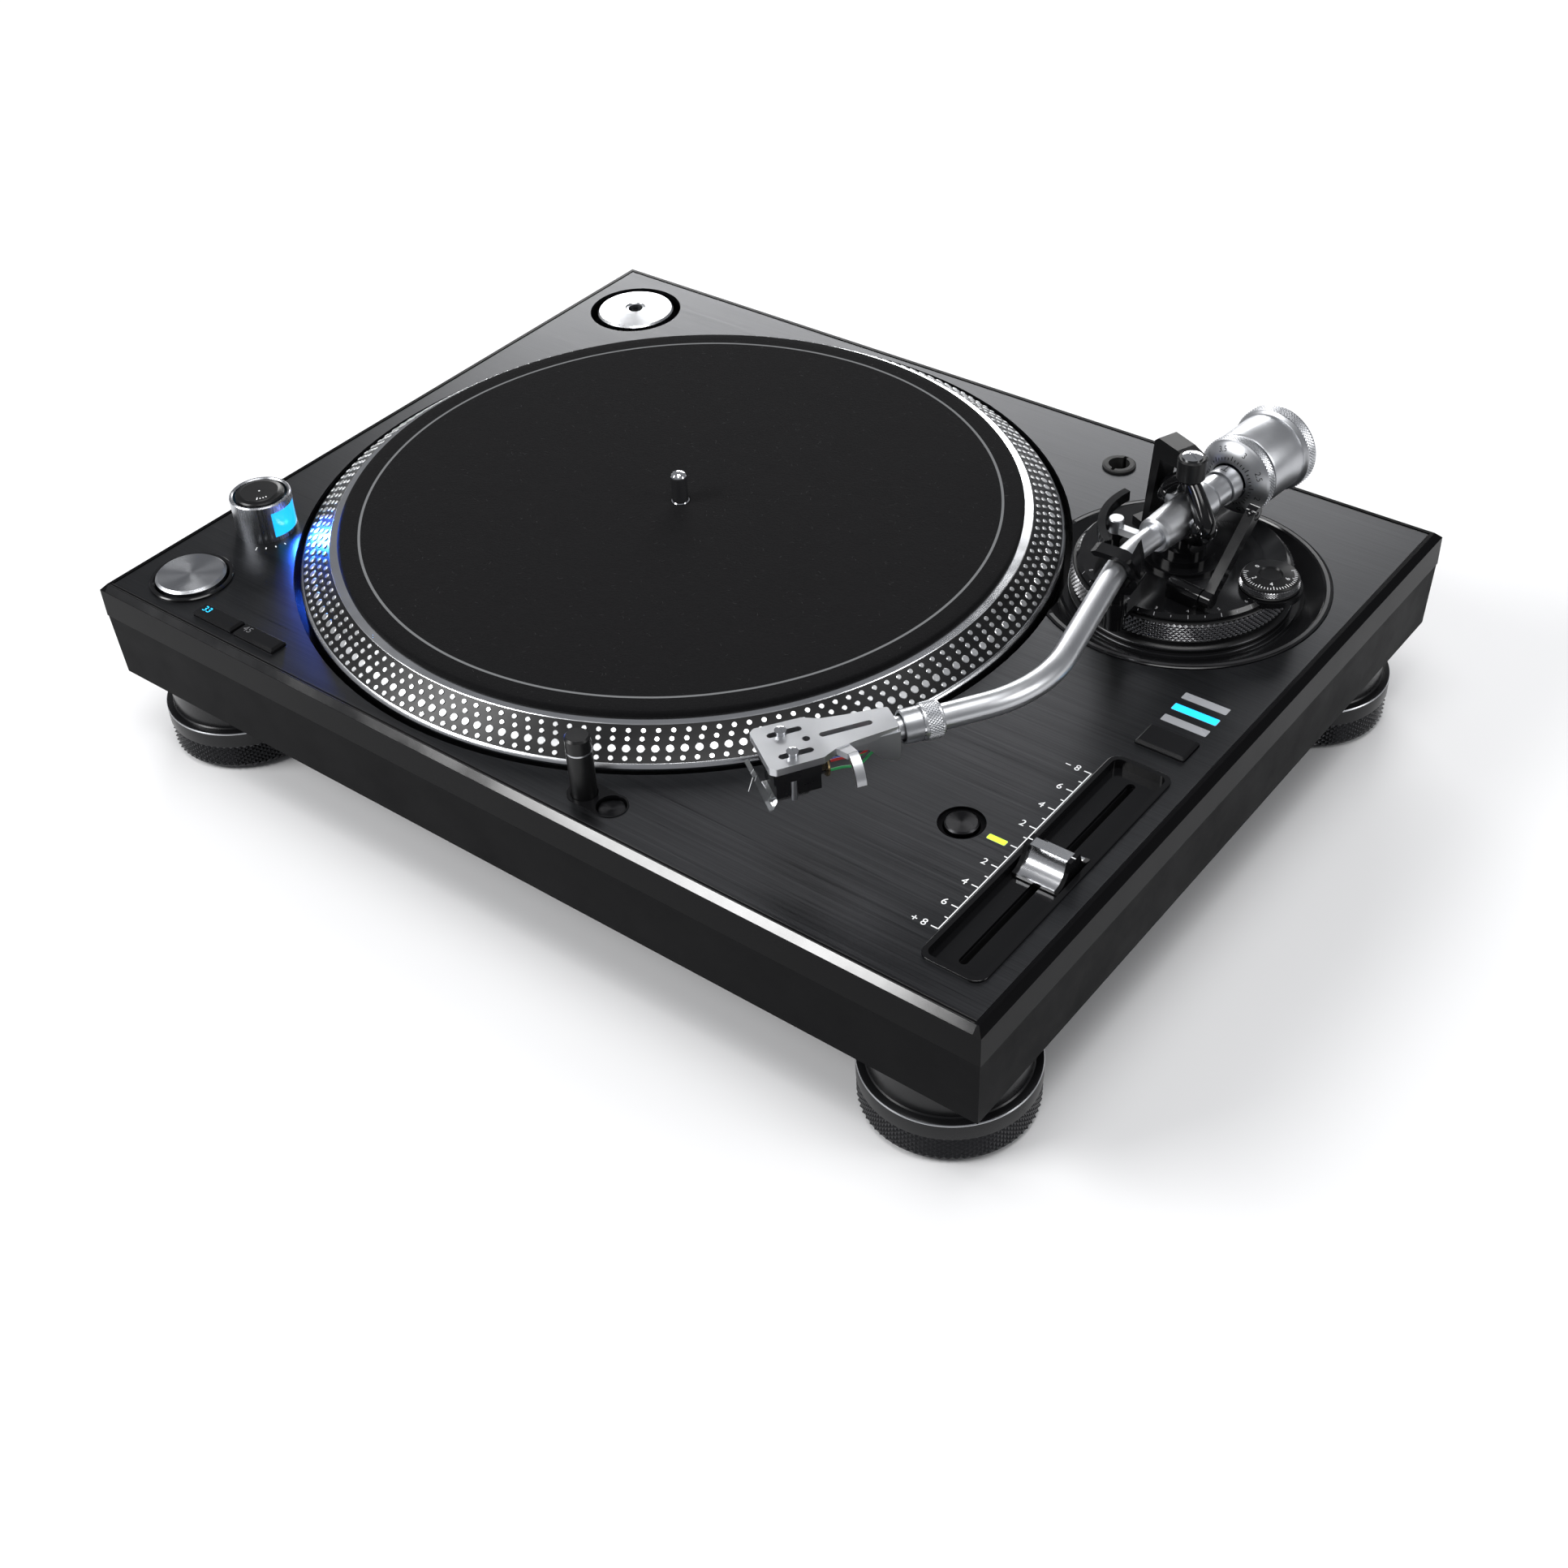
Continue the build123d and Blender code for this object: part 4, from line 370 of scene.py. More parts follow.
for node, width in (("top_casing", 0.25), ("base_shell", 0.5), ("gimbal_bracket", 0.9), ("arm_rest", 0.35),
                    ("arm_clip", 0.35), ("lifter", 0.4), ("cue_lever", 0.9), ("headshell", 0.35),
                    ("cartridge", 0.4), ("slider_cap", 0.35), ("arm_base", 0.3), ("stylus", 0.2),
                    ("target_lamp", 0.2), ("speed_33_button", 0.15), ("speed_45_button", 0.15),
                    ("tempo_range_button", 0.2), ("tonearm_well", 0.15)):
    soften(node, width)


# ------------------------------------------------------------------ mesh building
def piece(name, vertices, faces, finishes, body, indices=None, smooth=True, angle=32.0):
    """A mesh in the row frame that rides on a CAD body."""
    mesh = bpy.data.meshes.new(name)
    mesh.from_pydata([tuple(v) for v in vertices], [], faces)
    for f in finishes if isinstance(finishes, (list, tuple)) else [finishes]:
        mesh.materials.append(f.mat)
    if indices:
        mesh.polygons.foreach_set("material_index", indices)
    if smooth:
        mesh.polygons.foreach_set("use_smooth", [True] * len(mesh.polygons))
        mesh.set_sharp_from_angle(angle=radians(angle))
    mesh.update()
    obj = bpy.data.objects.new(name, mesh)
    show(obj)
    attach(obj, body)
    return obj


def shift(x, y, z):
    """Matrix that moves by millimetres."""
    return Matrix.Translation((x * MM, y * MM, z * MM))


def rotate(angle, axis="Z"):
    """Matrix that turns about X, Y or Z."""
    return Matrix.Rotation(angle, 4, axis)


def axes_of(origin, axis, reference=None):
    """Matrix whose Z runs along an axis and whose X is close to a reference direction."""
    z = Vector(axis).normalized()
    x = Vector(reference) if reference else (Vector((1, 0, 0)) if abs(z.x) < 0.9 else Vector((0, 1, 0)))
    x = (x - z * x.dot(z)).normalized()
    y = z.cross(x)
    m = Matrix((x, y, z)).transposed().to_4x4()
    m.translation = Vector(origin)
    return m


def lathe(name, profile, place, finishes, body, indices=None, segments=192, closed=True):
    """A turned piece from (radius, height) points in millimetres, round the Z of place."""
    vertices, faces, ids, rings = [], [], [], []
    for r, h in profile:
        if r < 1e-6:
            rings.append([len(vertices)])
            vertices.append(place @ Vector((0, 0, h * MM)))
            continue
        rings.append(list(range(len(vertices), len(vertices) + segments)))
        for i in range(segments):
            a = 2 * pi * i / segments
            vertices.append(place @ Vector((r * MM * cos(a), r * MM * sin(a), h * MM)))
    pairs = len(profile) if closed else len(profile) - 1
    for k in range(pairs):
        a, b = rings[k], rings[(k + 1) % len(profile)]
        if len(a) == 1 and len(b) == 1:
            continue
        for i in range(segments):
            j = (i + 1) % segments
            quad = [a[i % len(a)], a[j % len(a)], b[j % len(b)], b[i % len(b)]]
            quad = list(dict.fromkeys(quad))
            faces.append(quad)
            ids.append(indices[k] if indices else 0)
    return piece(name, vertices, faces, finishes, body, ids)


def knurl(name, place, low, high, depth, count, rows, finish, body):
    """A band of small pyramids: its valleys lie on the cylinder or cone between two rings."""
    (r0, h0), (r1, h1) = low, high
    steps = 2 * count
    vertices, faces = [], []
    for j in range(2 * rows + 1):
        t = j / (2 * rows)
        for i in range(steps):
            a = pi * i / count
            peak = (i + j) % 2 and 0 < j < 2 * rows
            r = r0 + (r1 - r0) * t + (depth if peak else 0.0)
            vertices.append(place @ Vector((r * MM * cos(a), r * MM * sin(a), (h0 + (h1 - h0) * t) * MM)))
    for j in range(2 * rows):
        for i in range(steps):
            k = (i + 1) % steps
            a, b, c, d = j * steps + i, j * steps + k, (j + 1) * steps + k, (j + 1) * steps + i
            if (i + j) % 2 == 0:
                faces += [(a, b, c), (a, c, d)]
            else:
                faces += [(a, b, d), (b, c, d)]
    return piece(name, vertices, faces, finish, body, smooth=False)


def blocks(name, items, finish, body):
    """Many small bars in one mesh: (place matrix, x, y, width, length, height) in millimetres."""
    vertices, faces = [], []
    for place, x, y, w, h, thick in items:
        base = len(vertices)
        for z in (0.0, thick):
            for sx, sy in ((-1, -1), (1, -1), (1, 1), (-1, 1)):
                vertices.append(place @ Vector(((x + sx * w / 2) * MM, (y + sy * h / 2) * MM, z * MM)))
        faces += [tuple(base + k for k in f) for f in
                  ((3, 2, 1, 0), (4, 5, 6, 7), (0, 1, 5, 4), (1, 2, 6, 5), (2, 3, 7, 6), (3, 0, 4, 7))]
    return piece(name, vertices, faces, finish, body, smooth=False)


def label(name, text, size, place, finish, body):
    """Digits and signs, as thin raised print, centred on a place."""
    curve = bpy.data.curves.new(name, "FONT")
    curve.body = text
    curve.size = size * MM
    curve.align_x = "CENTER"
    curve.align_y = "CENTER"
    curve.extrude = DIGIT_RAISE * MM / 2
    source = bpy.data.objects.new(name + "_source", curve)
    show(source)
    bpy.context.view_layer.update()
    mesh = bpy.data.meshes.new_from_object(source.evaluated_get(bpy.context.evaluated_depsgraph_get()))
    bpy.data.objects.remove(source)
    bpy.data.curves.remove(curve)
    mesh.name = name
    mesh.transform(place)
    mesh.materials.clear()
    mesh.materials.append(finish.mat)
    obj = bpy.data.objects.new(name, mesh)
    show(obj)
    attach(obj, body)
    return obj


def tube(name, points, radii, finish, body, sides=28, squash=1.0, normal=None):
    """A round bar of changing thickness through points in the row frame, with flat end caps."""
    points = [Vector(p) for p in points]
    vertices, faces = [], []
    for i, p in enumerate(points):
        ahead = (points[min(i + 1, len(points) - 1)] - points[max(i - 1, 0)]).normalized()
        side = (normal or UP).cross(ahead)
        side = side.normalized() if side.length > 1e-4 else Vector((1, 0, 0))
        up = ahead.cross(side)
        for k in range(sides):
            a = 2 * pi * k / sides
            vertices.append(p + side * (cos(a) * radii[i]) + up * (sin(a) * radii[i] * squash))
    for i in range(len(points) - 1):
        for k in range(sides):
            n = (k + 1) % sides
            faces.append((i * sides + k, i * sides + n, (i + 1) * sides + n, (i + 1) * sides + k))
    faces.append(tuple(reversed(range(sides))))
    faces.append(tuple((len(points) - 1) * sides + k for k in range(sides)))
    return piece(name, vertices, faces, finish, body)


def at(x, y, z=0.0):
    """Place on the deck: millimetres across, and above the rim."""
    return Matrix.Translation((x * MM, y * MM, DECK + z * MM))


def flat(x, y, z, turn=0.0):
    """The same place, turned about the upright."""
    return at(x, y, z) @ rotate(radians(turn))


# ------------------------------------------------------------------ platter and mat
platter_place = Matrix.Translation((PLATTER.x, PLATTER.y, DECK))
mat_top = (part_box("slipmat")[1].z - DECK) / MM
mat_low = (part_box("slipmat")[0].z - DECK) / MM
platter_profile = [(9, mat_low), (151.4, mat_low), (151.75, mat_low - 0.1), (152.0, mat_low - 0.4),
                   (164.6, 1.55), (164.9, 1.3), (165.8, 0.3), (166, -0.1), (166, -9), (162.5, -9), (162, -1),
                   (150, 6.5), (20, 6.5), (20, 4.0), (9, 4.0)]
platter_piece = lathe("platter_turned", platter_profile, platter_place, [lip, band], "turning_platter",
                      [0, 0, 0, 1] + [0] * 11, segments=360)
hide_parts("platter")


def platter_dots():
    """Four rows of shallow raised dots on the sloping band."""
    vertices, faces = [], []
    top, low = Vector((152.0, mat_low - 0.4)), Vector((164.6, 1.55))
    slope = (low - top).normalized()
    outward = Vector((-slope.y, slope.x))
    if outward.x < 0:
        outward = -outward
    for share, count, size in ((0.155, 168, 2.15), (0.373, 174, 2.15), (0.625, 180, 3.3), (0.88, 186, 2.2)):
        spot = top + (low - top) * share
        for i in range(count):
            a = 2 * pi * i / count
            radial = Vector((cos(a), sin(a), 0))
            ahead = Vector((-sin(a), cos(a), 0))
            down = radial * slope.x + UP * slope.y
            out = radial * outward.x + UP * outward.y
            centre = radial * spot.x + UP * spot.y
            base, sides = len(vertices), 14
            for share_r, rise in ((1.0, -0.05), (1.0, 0.26), (0.86, 0.44)):
                for k in range(sides):
                    t = 2 * pi * k / sides
                    r = size / 2 * share_r
                    v = centre + ahead * (r * cos(t)) + down * (r * sin(t)) + out * rise
                    vertices.append(platter_place @ (v * MM))
            for ring in (0, 1):
                for k in range(sides):
                    n = (k + 1) % sides
                    b = base + ring * sides
                    faces.append((b + k, b + sides + k, b + sides + n, b + n))
            faces.append(tuple(base + 2 * sides + k for k in reversed(range(sides))))
    return piece("platter_dots", vertices, faces, dot_alloy, "turning_platter",
                 angle=22.0)


platter_dots()


def felt_mat():
    """The slipmat as a slightly uneven felt disc with a soft edge."""
    radius, hole, sides, steps = MAT_RADIUS, MAT_HOLE, 288, 44
    under = mat_low - mat_top + 0.02
    rows = [hole + (radius - 1.4 - hole) * i / steps for i in range(steps + 1)]
    profile = [(r, None) for r in rows] + [(radius - 0.45, -0.25), (radius, -0.9), (radius - 0.1, under),
                                           (hole, under)]
    vertices, faces = [], []
    for r, h in profile:
        for i in range(sides):
            a = 2 * pi * i / sides
            x, y = r * cos(a), r * sin(a)
            rise = h if h is not None else -0.06 + 0.07 * noise.noise(Vector((x * 0.06, y * 0.06, 1.0)))
            if h is None:
                rise += 0.035 * noise.noise(Vector((x * 0.9, y * 0.9, 4.0)))
            vertices.append(platter_place @ Vector((x * MM, y * MM, (mat_top + rise) * MM)))
    for k in range(len(profile)):
        n = (k + 1) % len(profile)
        for i in range(sides):
            j = (i + 1) % sides
            faces.append((k * sides + i, k * sides + j, n * sides + j, n * sides + i)[::-1])
    return piece("felt_slipmat", vertices, faces, felt, "turning_platter", angle=60.0)


mat = felt_mat()
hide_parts("slipmat")


def lint():
    """Short loose fibres lying on the felt."""
    vertices, faces = [], []
    for _ in range(900):
        r = 146.0 * random.random() ** 0.5
        a = random.uniform(0, 2 * pi)
        if r < 8:
            continue
        turn, size = random.uniform(0, pi), random.uniform(0.5, 1.8)
        base = len(vertices)
        bend = random.uniform(-0.25, 0.25)
        for t in (-0.5, 0.0, 0.5):
            x = r * cos(a) + size * t * cos(turn) - bend * (0.25 - t * t) * 4 * sin(turn)
            y = r * sin(a) + size * t * sin(turn) + bend * (0.25 - t * t) * 4 * cos(turn)
            for side in (-0.022, 0.022):
                vertices.append(platter_place @ Vector(((x - side * sin(turn)) * MM,
                                                        (y + side * cos(turn)) * MM,
                                                        (mat_top + 0.03 + 0.02 * side) * MM)))
        faces += [(base, base + 2, base + 3, base + 1), (base + 2, base + 4, base + 5, base + 3)]
    return piece("felt_lint", vertices, faces, printed("lint_grey", (0.045, 0.045, 0.048)), "turning_platter",
                 smooth=False)


lint()


# ------------------------------------------------------------------ feet
def feet():
    """Four turned feet, each with a knurled band and a thin steel ring on the band's top edge as a painted
    highlight.
    """
    for node, body in (("foot_front_left", "foot_fl"), ("foot_front_right", "foot_fr"),
                       ("foot_rear_right", "foot_rr"), ("foot_rear_left", "foot_rl")):
        centre = middle(node)
        place = Matrix.Translation((centre.x, centre.y, 0))
        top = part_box(node)[1].z / MM
        profile = [(0, 0), (30.6, 0), (31, 0.4), (31, 1.4), (32.8, 1.6), (33.15, 2.0), (33.15, 13.2),
                   (34.2, 13.7), (34.2, 20.4), (33.9, 21.1), (33.2, 21.4), (31.2, 21.5), (30.7, 22.0),
                   (30.5, 33.0), (5, 33.0), (5, top), (0, top)]
        turned = lathe(node + "_turned", profile, place, foot, body, segments=220)
        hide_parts(node)
        knurl(node + "_knurl", place, (33.2, 2.0), (33.2, 13.3), 0.95, 70, 5, foot_knurl, body)
        # painted highlight: a thin light steel ring on the band's top edge, where that edge catches the light
        lathe(node + "_painted_highlight_rim", [(33.95, 21.08), (34.22, 20.75), (34.22, 20.45), (33.9, 20.6)], place, steel,
              body, segments=220)


feet()


# ------------------------------------------------------------------ tonearm base
pivot_place = Matrix.Translation((PIVOT.x, PIVOT.y, DECK))


def height_ring():
    """The ring under the tonearm base: a turned body, a knurled band and a bright edge."""
    inner = 38.2
    profile = [(inner, -3.7), (46.1, -3.7), (46.1, -2.4), (45.7, -2.0), (44.6, -1.5), (44.3, -0.4),
               (44.3, 0.0), (44.6, 0.3), (44.6, 9.0), (44.3, 9.3), (inner, 9.3)]
    ring = lathe("height_ring_turned", profile, pivot_place, satin, "ring", segments=300)
    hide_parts("height_ring")
    knurl("height_ring_knurl", pivot_place, (44.65, 0.4), (44.65, 9.0), 0.95, 122, 4, knurled, "ring")
    lathe("height_ring_edge", [(46.05, -2.3), (46.13, -2.3), (46.13, -2.75), (46.05, -2.75)], pivot_place,
          steel, "ring", segments=240)


height_ring()


def scale_on_base():
    """Millimetre marks on the shoulder of the tonearm base."""
    items, numbers = [], []
    for k in range(13):
        a = radians(-130 + 9.0 * k)
        place = (pivot_place @ rotate(a) @ shift(42.7, 0, 11.34) @ rotate(radians(45), "Y"))
        items.append((place, 0.0, 0.0, 1.5 if k % 2 == 0 else 0.8, 0.28, 0.03))
        if k % 2 == 0:
            numbers.append((a, str(k // 2)))
    blocks("height_marks", items, dim_print, "arm_seat")
    for a, text in numbers:
        place = (pivot_place @ rotate(a) @ shift(39.6, 0, 12.03) @ rotate(radians(90)))
        label("height_number_" + text, text, 2.3, place, dim_print, "arm_seat")


scale_on_base()


def well_ring():
    """The light ring is cut away where the platter's opening crosses it."""
    vertices, faces = [], []
    spots = []
    for i in range(720):
        a = 2 * pi * i / 720
        x, y = PIVOT.x + 0.0597 * cos(a), PIVOT.y + 0.0597 * sin(a)
        spots.append(hypot(x - PLATTER.x, y - PLATTER.y) > 0.1702)
    for i in range(720):
        a = 2 * pi * i / 720
        for r, z in ((59.0, 0.3), (59.0, 0.36), (60.4, 0.36), (60.4, 0.3)):
            vertices.append(pivot_place @ Vector((r * MM * cos(a), r * MM * sin(a), z * MM)))
    for i in range(720):
        j = (i + 1) % 720
        if not (spots[i] and spots[j]):
            continue
        for k in range(3):
            faces.append((4 * i + k, 4 * i + k + 1, 4 * j + k + 1, 4 * j + k))
    return piece("well_bright_ring", vertices, faces, plate, "cabinet")


well_ring()


def gimbal():
    """The yoke is a smooth arch from one bearing over the arm to the other, with a bar below."""
    def arch(points, name, squash=0.8):
        smooth_points, radii = [], []
        for i in range(len(points) - 1):
            a, b, c, d = (points[max(0, min(len(points) - 1, k))] for k in (i - 1, i, i + 1, i + 2))
            for s in range(6):
                t = s / 6
                value = [0.5 * ((2 * b[k]) + (-a[k] + c[k]) * t
                                + (2 * a[k] - 5 * b[k] + 4 * c[k] - d[k]) * t * t
                                + (-a[k] + 3 * b[k] - 3 * c[k] + d[k]) * t ** 3) for k in range(3)]
                smooth_points.append(value[:2])
                radii.append(value[2])
        smooth_points.append(points[-1][:2])
        radii.append(points[-1][2])
        where = [PIVOT + GIMBAL_DIR * (x * MM) + UP * (z * MM) for x, z in smooth_points]
        return tube(name, where, [r * MM for r in radii], gloss, "gimbal", 32, squash,
                    GIMBAL_DIR.cross(UP))
    main = arch([(-14.8, -1.0, 5.0), (-14.6, 2.5, 5.2), (-11.5, 6.4, 4.7), (-7.0, 10.6, 4.2),
                 (-3.4, 13.0, 4.0), (0, 13.8, 4.3), (3.4, 13.0, 4.0), (7.0, 10.6, 4.2), (11.5, 6.4, 4.7),
                 (14.6, 2.5, 5.2), (14.8, -1.0, 5.0)], "yoke_arch")
    arch([(-14.8, 1.0, 3.6), (-14.4, -2.6, 3.6), (-10.8, -7.0, 2.7), (-5.4, -10.2, 2.3), (0, -10.6, 2.6),
          (5.4, -10.2, 2.3), (10.8, -7.0, 2.7), (14.4, -2.6, 3.6), (14.8, 1.0, 3.6)], "yoke_lower")
    for side, name in ((1, "right"), (-1, "left")):
        place = axes_of(PIVOT, GIMBAL_DIR * side, UP)
        lathe("yoke_boss_" + name, [(1.55, 11.4), (4.4, 11.4), (5.1, 12.2), (5.4, 14.0), (5.4, 15.6),
                                    (4.8, 16.8), (4.2, 17.0),
                                    (1.55, 17.0)], place, gloss, "gimbal", segments=64)
    place = Matrix.Translation(PIVOT)
    lathe("yoke_neck", [(1.55, 11.0), (4.9, 11.4), (4.4, 13.4), (4.6, 15.3), (4.2, 15.6), (1.55, 15.6)],
          place, gloss, "gimbal", segments=72)
    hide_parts("pivot_yoke")


gimbal()


def screw_head(name, place, radius, height, body, crossed=True):
    """A domed screw head with real slots."""
    vertices, faces = [], []
    n = 40
    for i in range(n + 1):
        for j in range(n + 1):
            u, v = 2 * i / n - 1, 2 * j / n - 1
            x = u * (1 - v * v / 2) ** 0.5
            y = v * (1 - u * u / 2) ** 0.5
            r = hypot(x, y)
            z = height * (1.0 - 0.35 * r ** 3)
            slot_depth = 0.0
            for px, py in ((x, y), (y, x)) if crossed else ((x, y),):
                if abs(px) < 0.12 and abs(py) < 0.8:
                    slot_depth = max(slot_depth, 0.75 * height)
            vertices.append(place @ Vector((x * radius * MM, y * radius * MM, (z - slot_depth) * MM)))
    for i in range(n):
        for j in range(n):
            a = i * (n + 1) + j
            faces.append((a, a + n + 1, a + n + 2, a + 1))
    rim = ([i * (n + 1) for i in range(n + 1)] + [n * (n + 1) + j for j in range(1, n + 1)]
           + [i * (n + 1) + n for i in range(n - 1, -1, -1)] + [j for j in range(n - 1, 0, -1)])
    base = len(vertices)
    inverse = place.inverted()
    for k in rim:
        p = inverse @ vertices[k]
        vertices.append(place @ Vector((p.x, p.y, 0)))
    for k in range(len(rim)):
        m = (k + 1) % len(rim)
        faces.append((rim[k], base + k, base + m, rim[m])[::-1])
    return piece(name, vertices, faces, chrome, body, angle=28.0)


cap_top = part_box("gimbal_bracket")[1].z
screw_head("cap_screw", Matrix.Translation((PIVOT.x, PIVOT.y, cap_top)) @ rotate(0.9), 4.1, 0.8,
           "arm_seat", crossed=False)
for side, name in ((1, "right"), (-1, "left")):
    place = axes_of(PIVOT + GIMBAL_DIR * (side * 17.0 * MM), GIMBAL_DIR * side, UP)
    head = screw_head("side_screw_" + name, place, 3.7, 1.5, "gimbal")
    if side == 1:
        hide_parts("pivot_screws")

# ------------------------------------------------------------------ lifter head and cue knob
def cue_details():
    """The lifter's head and bar, and the ball on the cue lever."""
    top = (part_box("lifter")[1].z - DECK) / MM
    lathe("lifter_head", [(0, top - 6.4), (2.9, top - 6.4), (3.2, top - 6.0), (3.2, top - 0.3),
                          (2.9, top + 0.05),
                          (0, top + 0.05)], at(127.4, 72.6), silver, "cue_lift", segments=64)
    bar = at(127.4, 72.6) @ shift(0, 0, top - 6.15)
    blocks("lifter_bar", [(bar, 6.2, -0.4, 9.3, 3.5, 3.1)], silver, "cue_lift")
    tip = Vector((0.1824, 0.0822, DECK + 0.0451))
    root = Vector((0.1795, 0.0559, DECK + 0.0172))
    along = (tip - root).normalized()
    ball = [(2.9 * sin(pi * k / 12), -2.9 * cos(pi * k / 12)) for k in range(13)]
    lathe("cue_knob", [(max(r, 0.0) if 0 < k < 12 else 0, h) for k, (r, h) in enumerate(ball)],
          axes_of(tip - along * (1.2 * MM), along), gloss, "cue_handle", segments=40,
          closed=False)


cue_details()

# ------------------------------------------------------------------ counterweight and its dials
arm_place = axes_of((PIVOT.x, PIVOT.y, PIVOT.z), -ARM_DIR, UP)


def counterweight():
    """The counterweight, and the pressure dial with its ticks and numbers."""
    profile = [(7.5, 38.9), (15.2, 38.9), (16.3, 39.4), (16.6, 40.2), (16.6, 59.6), (16.9, 60.0),
               (17.6, 60.3), (18.1, 60.8), (18.1, 66.2), (17.6, 66.8), (16.0, 67.0), (15.6, 66.2),
               (9.0, 66.2), (7.5, 66.8)]
    main = lathe("counterweight_turned", profile, arm_place, weight_silver, "weight",
                 segments=220)
    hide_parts("counterweight")
    knurl("counterweight_knurl", arm_place, (18.12, 61.0), (18.12, 66.0), 0.5, 84, 3, weight_silver, "weight")
    profile = [(8.1, 29.5), (8.3, 29.2), (9.2, 29.3), (15.7, 33.0), (16.2, 33.6), (16.6, 34.0), (16.6, 38.2),
               (16.3, 38.6), (8.1, 38.6)]
    dial = lathe("pressure_dial_turned", profile, arm_place, weight_silver, "force_dial",
                 segments=220)
    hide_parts("pressure_dial")
    knurl("pressure_dial_knurl", arm_place, (16.62, 34.2), (16.62, 38.0), 0.5, 76, 3, weight_silver,
          "force_dial")
    slope = atan2(3.7, 6.5)

    def on_cone(a, r):
        """Place on the dial's sloping face, facing out."""
        z = 29.3 + (r - 9.2) * 3.7 / 6.5
        return (arm_place @ rotate(a) @ shift(r, 0, z) @ rotate(-slope, "Y") @ rotate(pi, "X"))

    items = []
    for k in range(40):
        size = 1.9 if k % 5 == 0 else 1.1
        items.append((on_cone(radians(9.0 * k), 9.5 + size / 2), 0.0, 0.0, size, 0.4, 0.04))
    blocks("pressure_ticks", items, dark_print, "force_dial")
    for k, text in enumerate(("3", "3.5", "0", "0.5", "1", "1.5", "2", "2.5")):
        place = on_cone(-radians(-20.0 + 45.0 * k), 13.4) @ rotate(radians(-90))
        label("pressure_number_" + str(k), text, 3.4, place, dark_print, "force_dial")


counterweight()
mark = axes_of(PIVOT - ARM_DIR * (24.5 * MM) + UP * (7.62 * MM), UP, -ARM_DIR)
blocks("index_mark", [(mark, 1.7, 0.0, 3.4, 0.3, 0.04), (mark, 0.0, 0.0, 0.35, 3.0, 0.04)], dark_print,
       "tonearm")


# ------------------------------------------------------------------ lock collar and headshell details
def collar():
    """The headshell's lock collar with its knurled band."""
    place = axes_of(COLLAR, SHELL_DIR, UP)
    profile = [(5.0, 0), (6.3, 0), (6.9, 0.5), (6.9, 7.2), (6.6, 7.6), (6.45, 8.0), (6.4, 14.6), (6.2, 15.0),
               (5.4, 15.0), (5.4, 7.4), (5.0, 7.4)]
    main = lathe("lock_collar_turned", profile, place, weight_silver, "collar", segments=96)
    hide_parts("lock_collar")
    knurl("lock_collar_knurl", place, (6.92, 0.7), (6.92, 7.0), 0.3, 40, 4, weight_silver, "collar")


collar()
place = axes_of(COLLAR, SHELL_DIR, UP)
lathe("collar_bright_ring", [(6.55, 7.7), (6.72, 7.7), (6.72, 8.3), (6.55, 8.3)], place, chrome, "collar",
      segments=96)


def shell_place(forward, side, height):
    """Place on the headshell: millimetres ahead of the collar, sideways and up."""
    return axes_of(COLLAR + SHELL_DIR * (forward * MM) + UP.cross(SHELL_DIR) * (side * MM)
                   + UP * (height * MM), UP, SHELL_DIR)


for side, name in ((6.35, "right"), (-6.35, "left")):
    screw_head("cartridge_screw_" + name, shell_place(58.4, side, 7.28), 2.2, 0.35, "tonearm", crossed=False)
lathe("cartridge_pins_collar", [(0.01, 44.2), (5.4, 44.2), (5.4, 44.9), (0.01, 44.9)],
      axes_of(COLLAR - UP * (6.6 * MM), SHELL_DIR, UP), brass, "tonearm", segments=40)
blocks("stylus_front_mark", [(shell_place(72.05, 0, -7.0) @ rotate(radians(72), "Y"), 0, 0, 9.0, 0.35, 0.05)],
       white_print, "tonearm")


# ------------------------------------------------------------------ anti-skating dial
def skate_dial():
    """The anti-skating dial with its ticks and numbers."""
    centre = middle("anti_skate_dial")
    place = Matrix.Translation((centre.x, centre.y, DECK))
    base = (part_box("anti_skate_dial")[1].z - DECK) / MM - 5.2
    profile = [(0, base - 2.0), (2.0, base - 2.0), (2.0, base), (12.0, base), (12.2, base + 0.4),
               (11.7, base + 0.7), (11.7, base + 3.6), (11.4, base + 4.2), (10.9, base + 4.6),
               (4.9, base + 5.2), (4.4, base + 4.5), (0, base + 4.4)]
    main = lathe("skate_dial_turned", profile, place, satin, "skate_dial", segments=120)
    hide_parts("anti_skate_dial")
    knurl("skate_dial_knurl", place, (11.72, base + 0.8), (11.72, base + 3.6), 0.5, 60, 3, knurled,
          "skate_dial")
    items = []
    tilt = atan2(0.6, 6.0)
    for k in range(31):
        a = radians(-160 + 7.0 * k)
        size = 1.9 if k % 5 == 0 else 1.2
        r = 10.7 - size / 2
        z = base + 4.62 + (10.9 - r) * 0.1
        items.append((place @ rotate(a) @ shift(r, 0, z) @ rotate(tilt, "Y"), 0, 0, size, 0.3, 0.03))
    blocks("skate_ticks", items, white_print, "skate_dial")
    for k, text in enumerate(("2", "4", "6", "0")):
        a = radians((-125, -60, 5, 165)[k])
        spot = (place @ rotate(a) @ shift(7.3, 0, base + 4.98) @ rotate(tilt, "Y") @ rotate(radians(90)))
        label("skate_number_" + text, text, 2.7, spot, white_print, "skate_dial")


skate_dial()


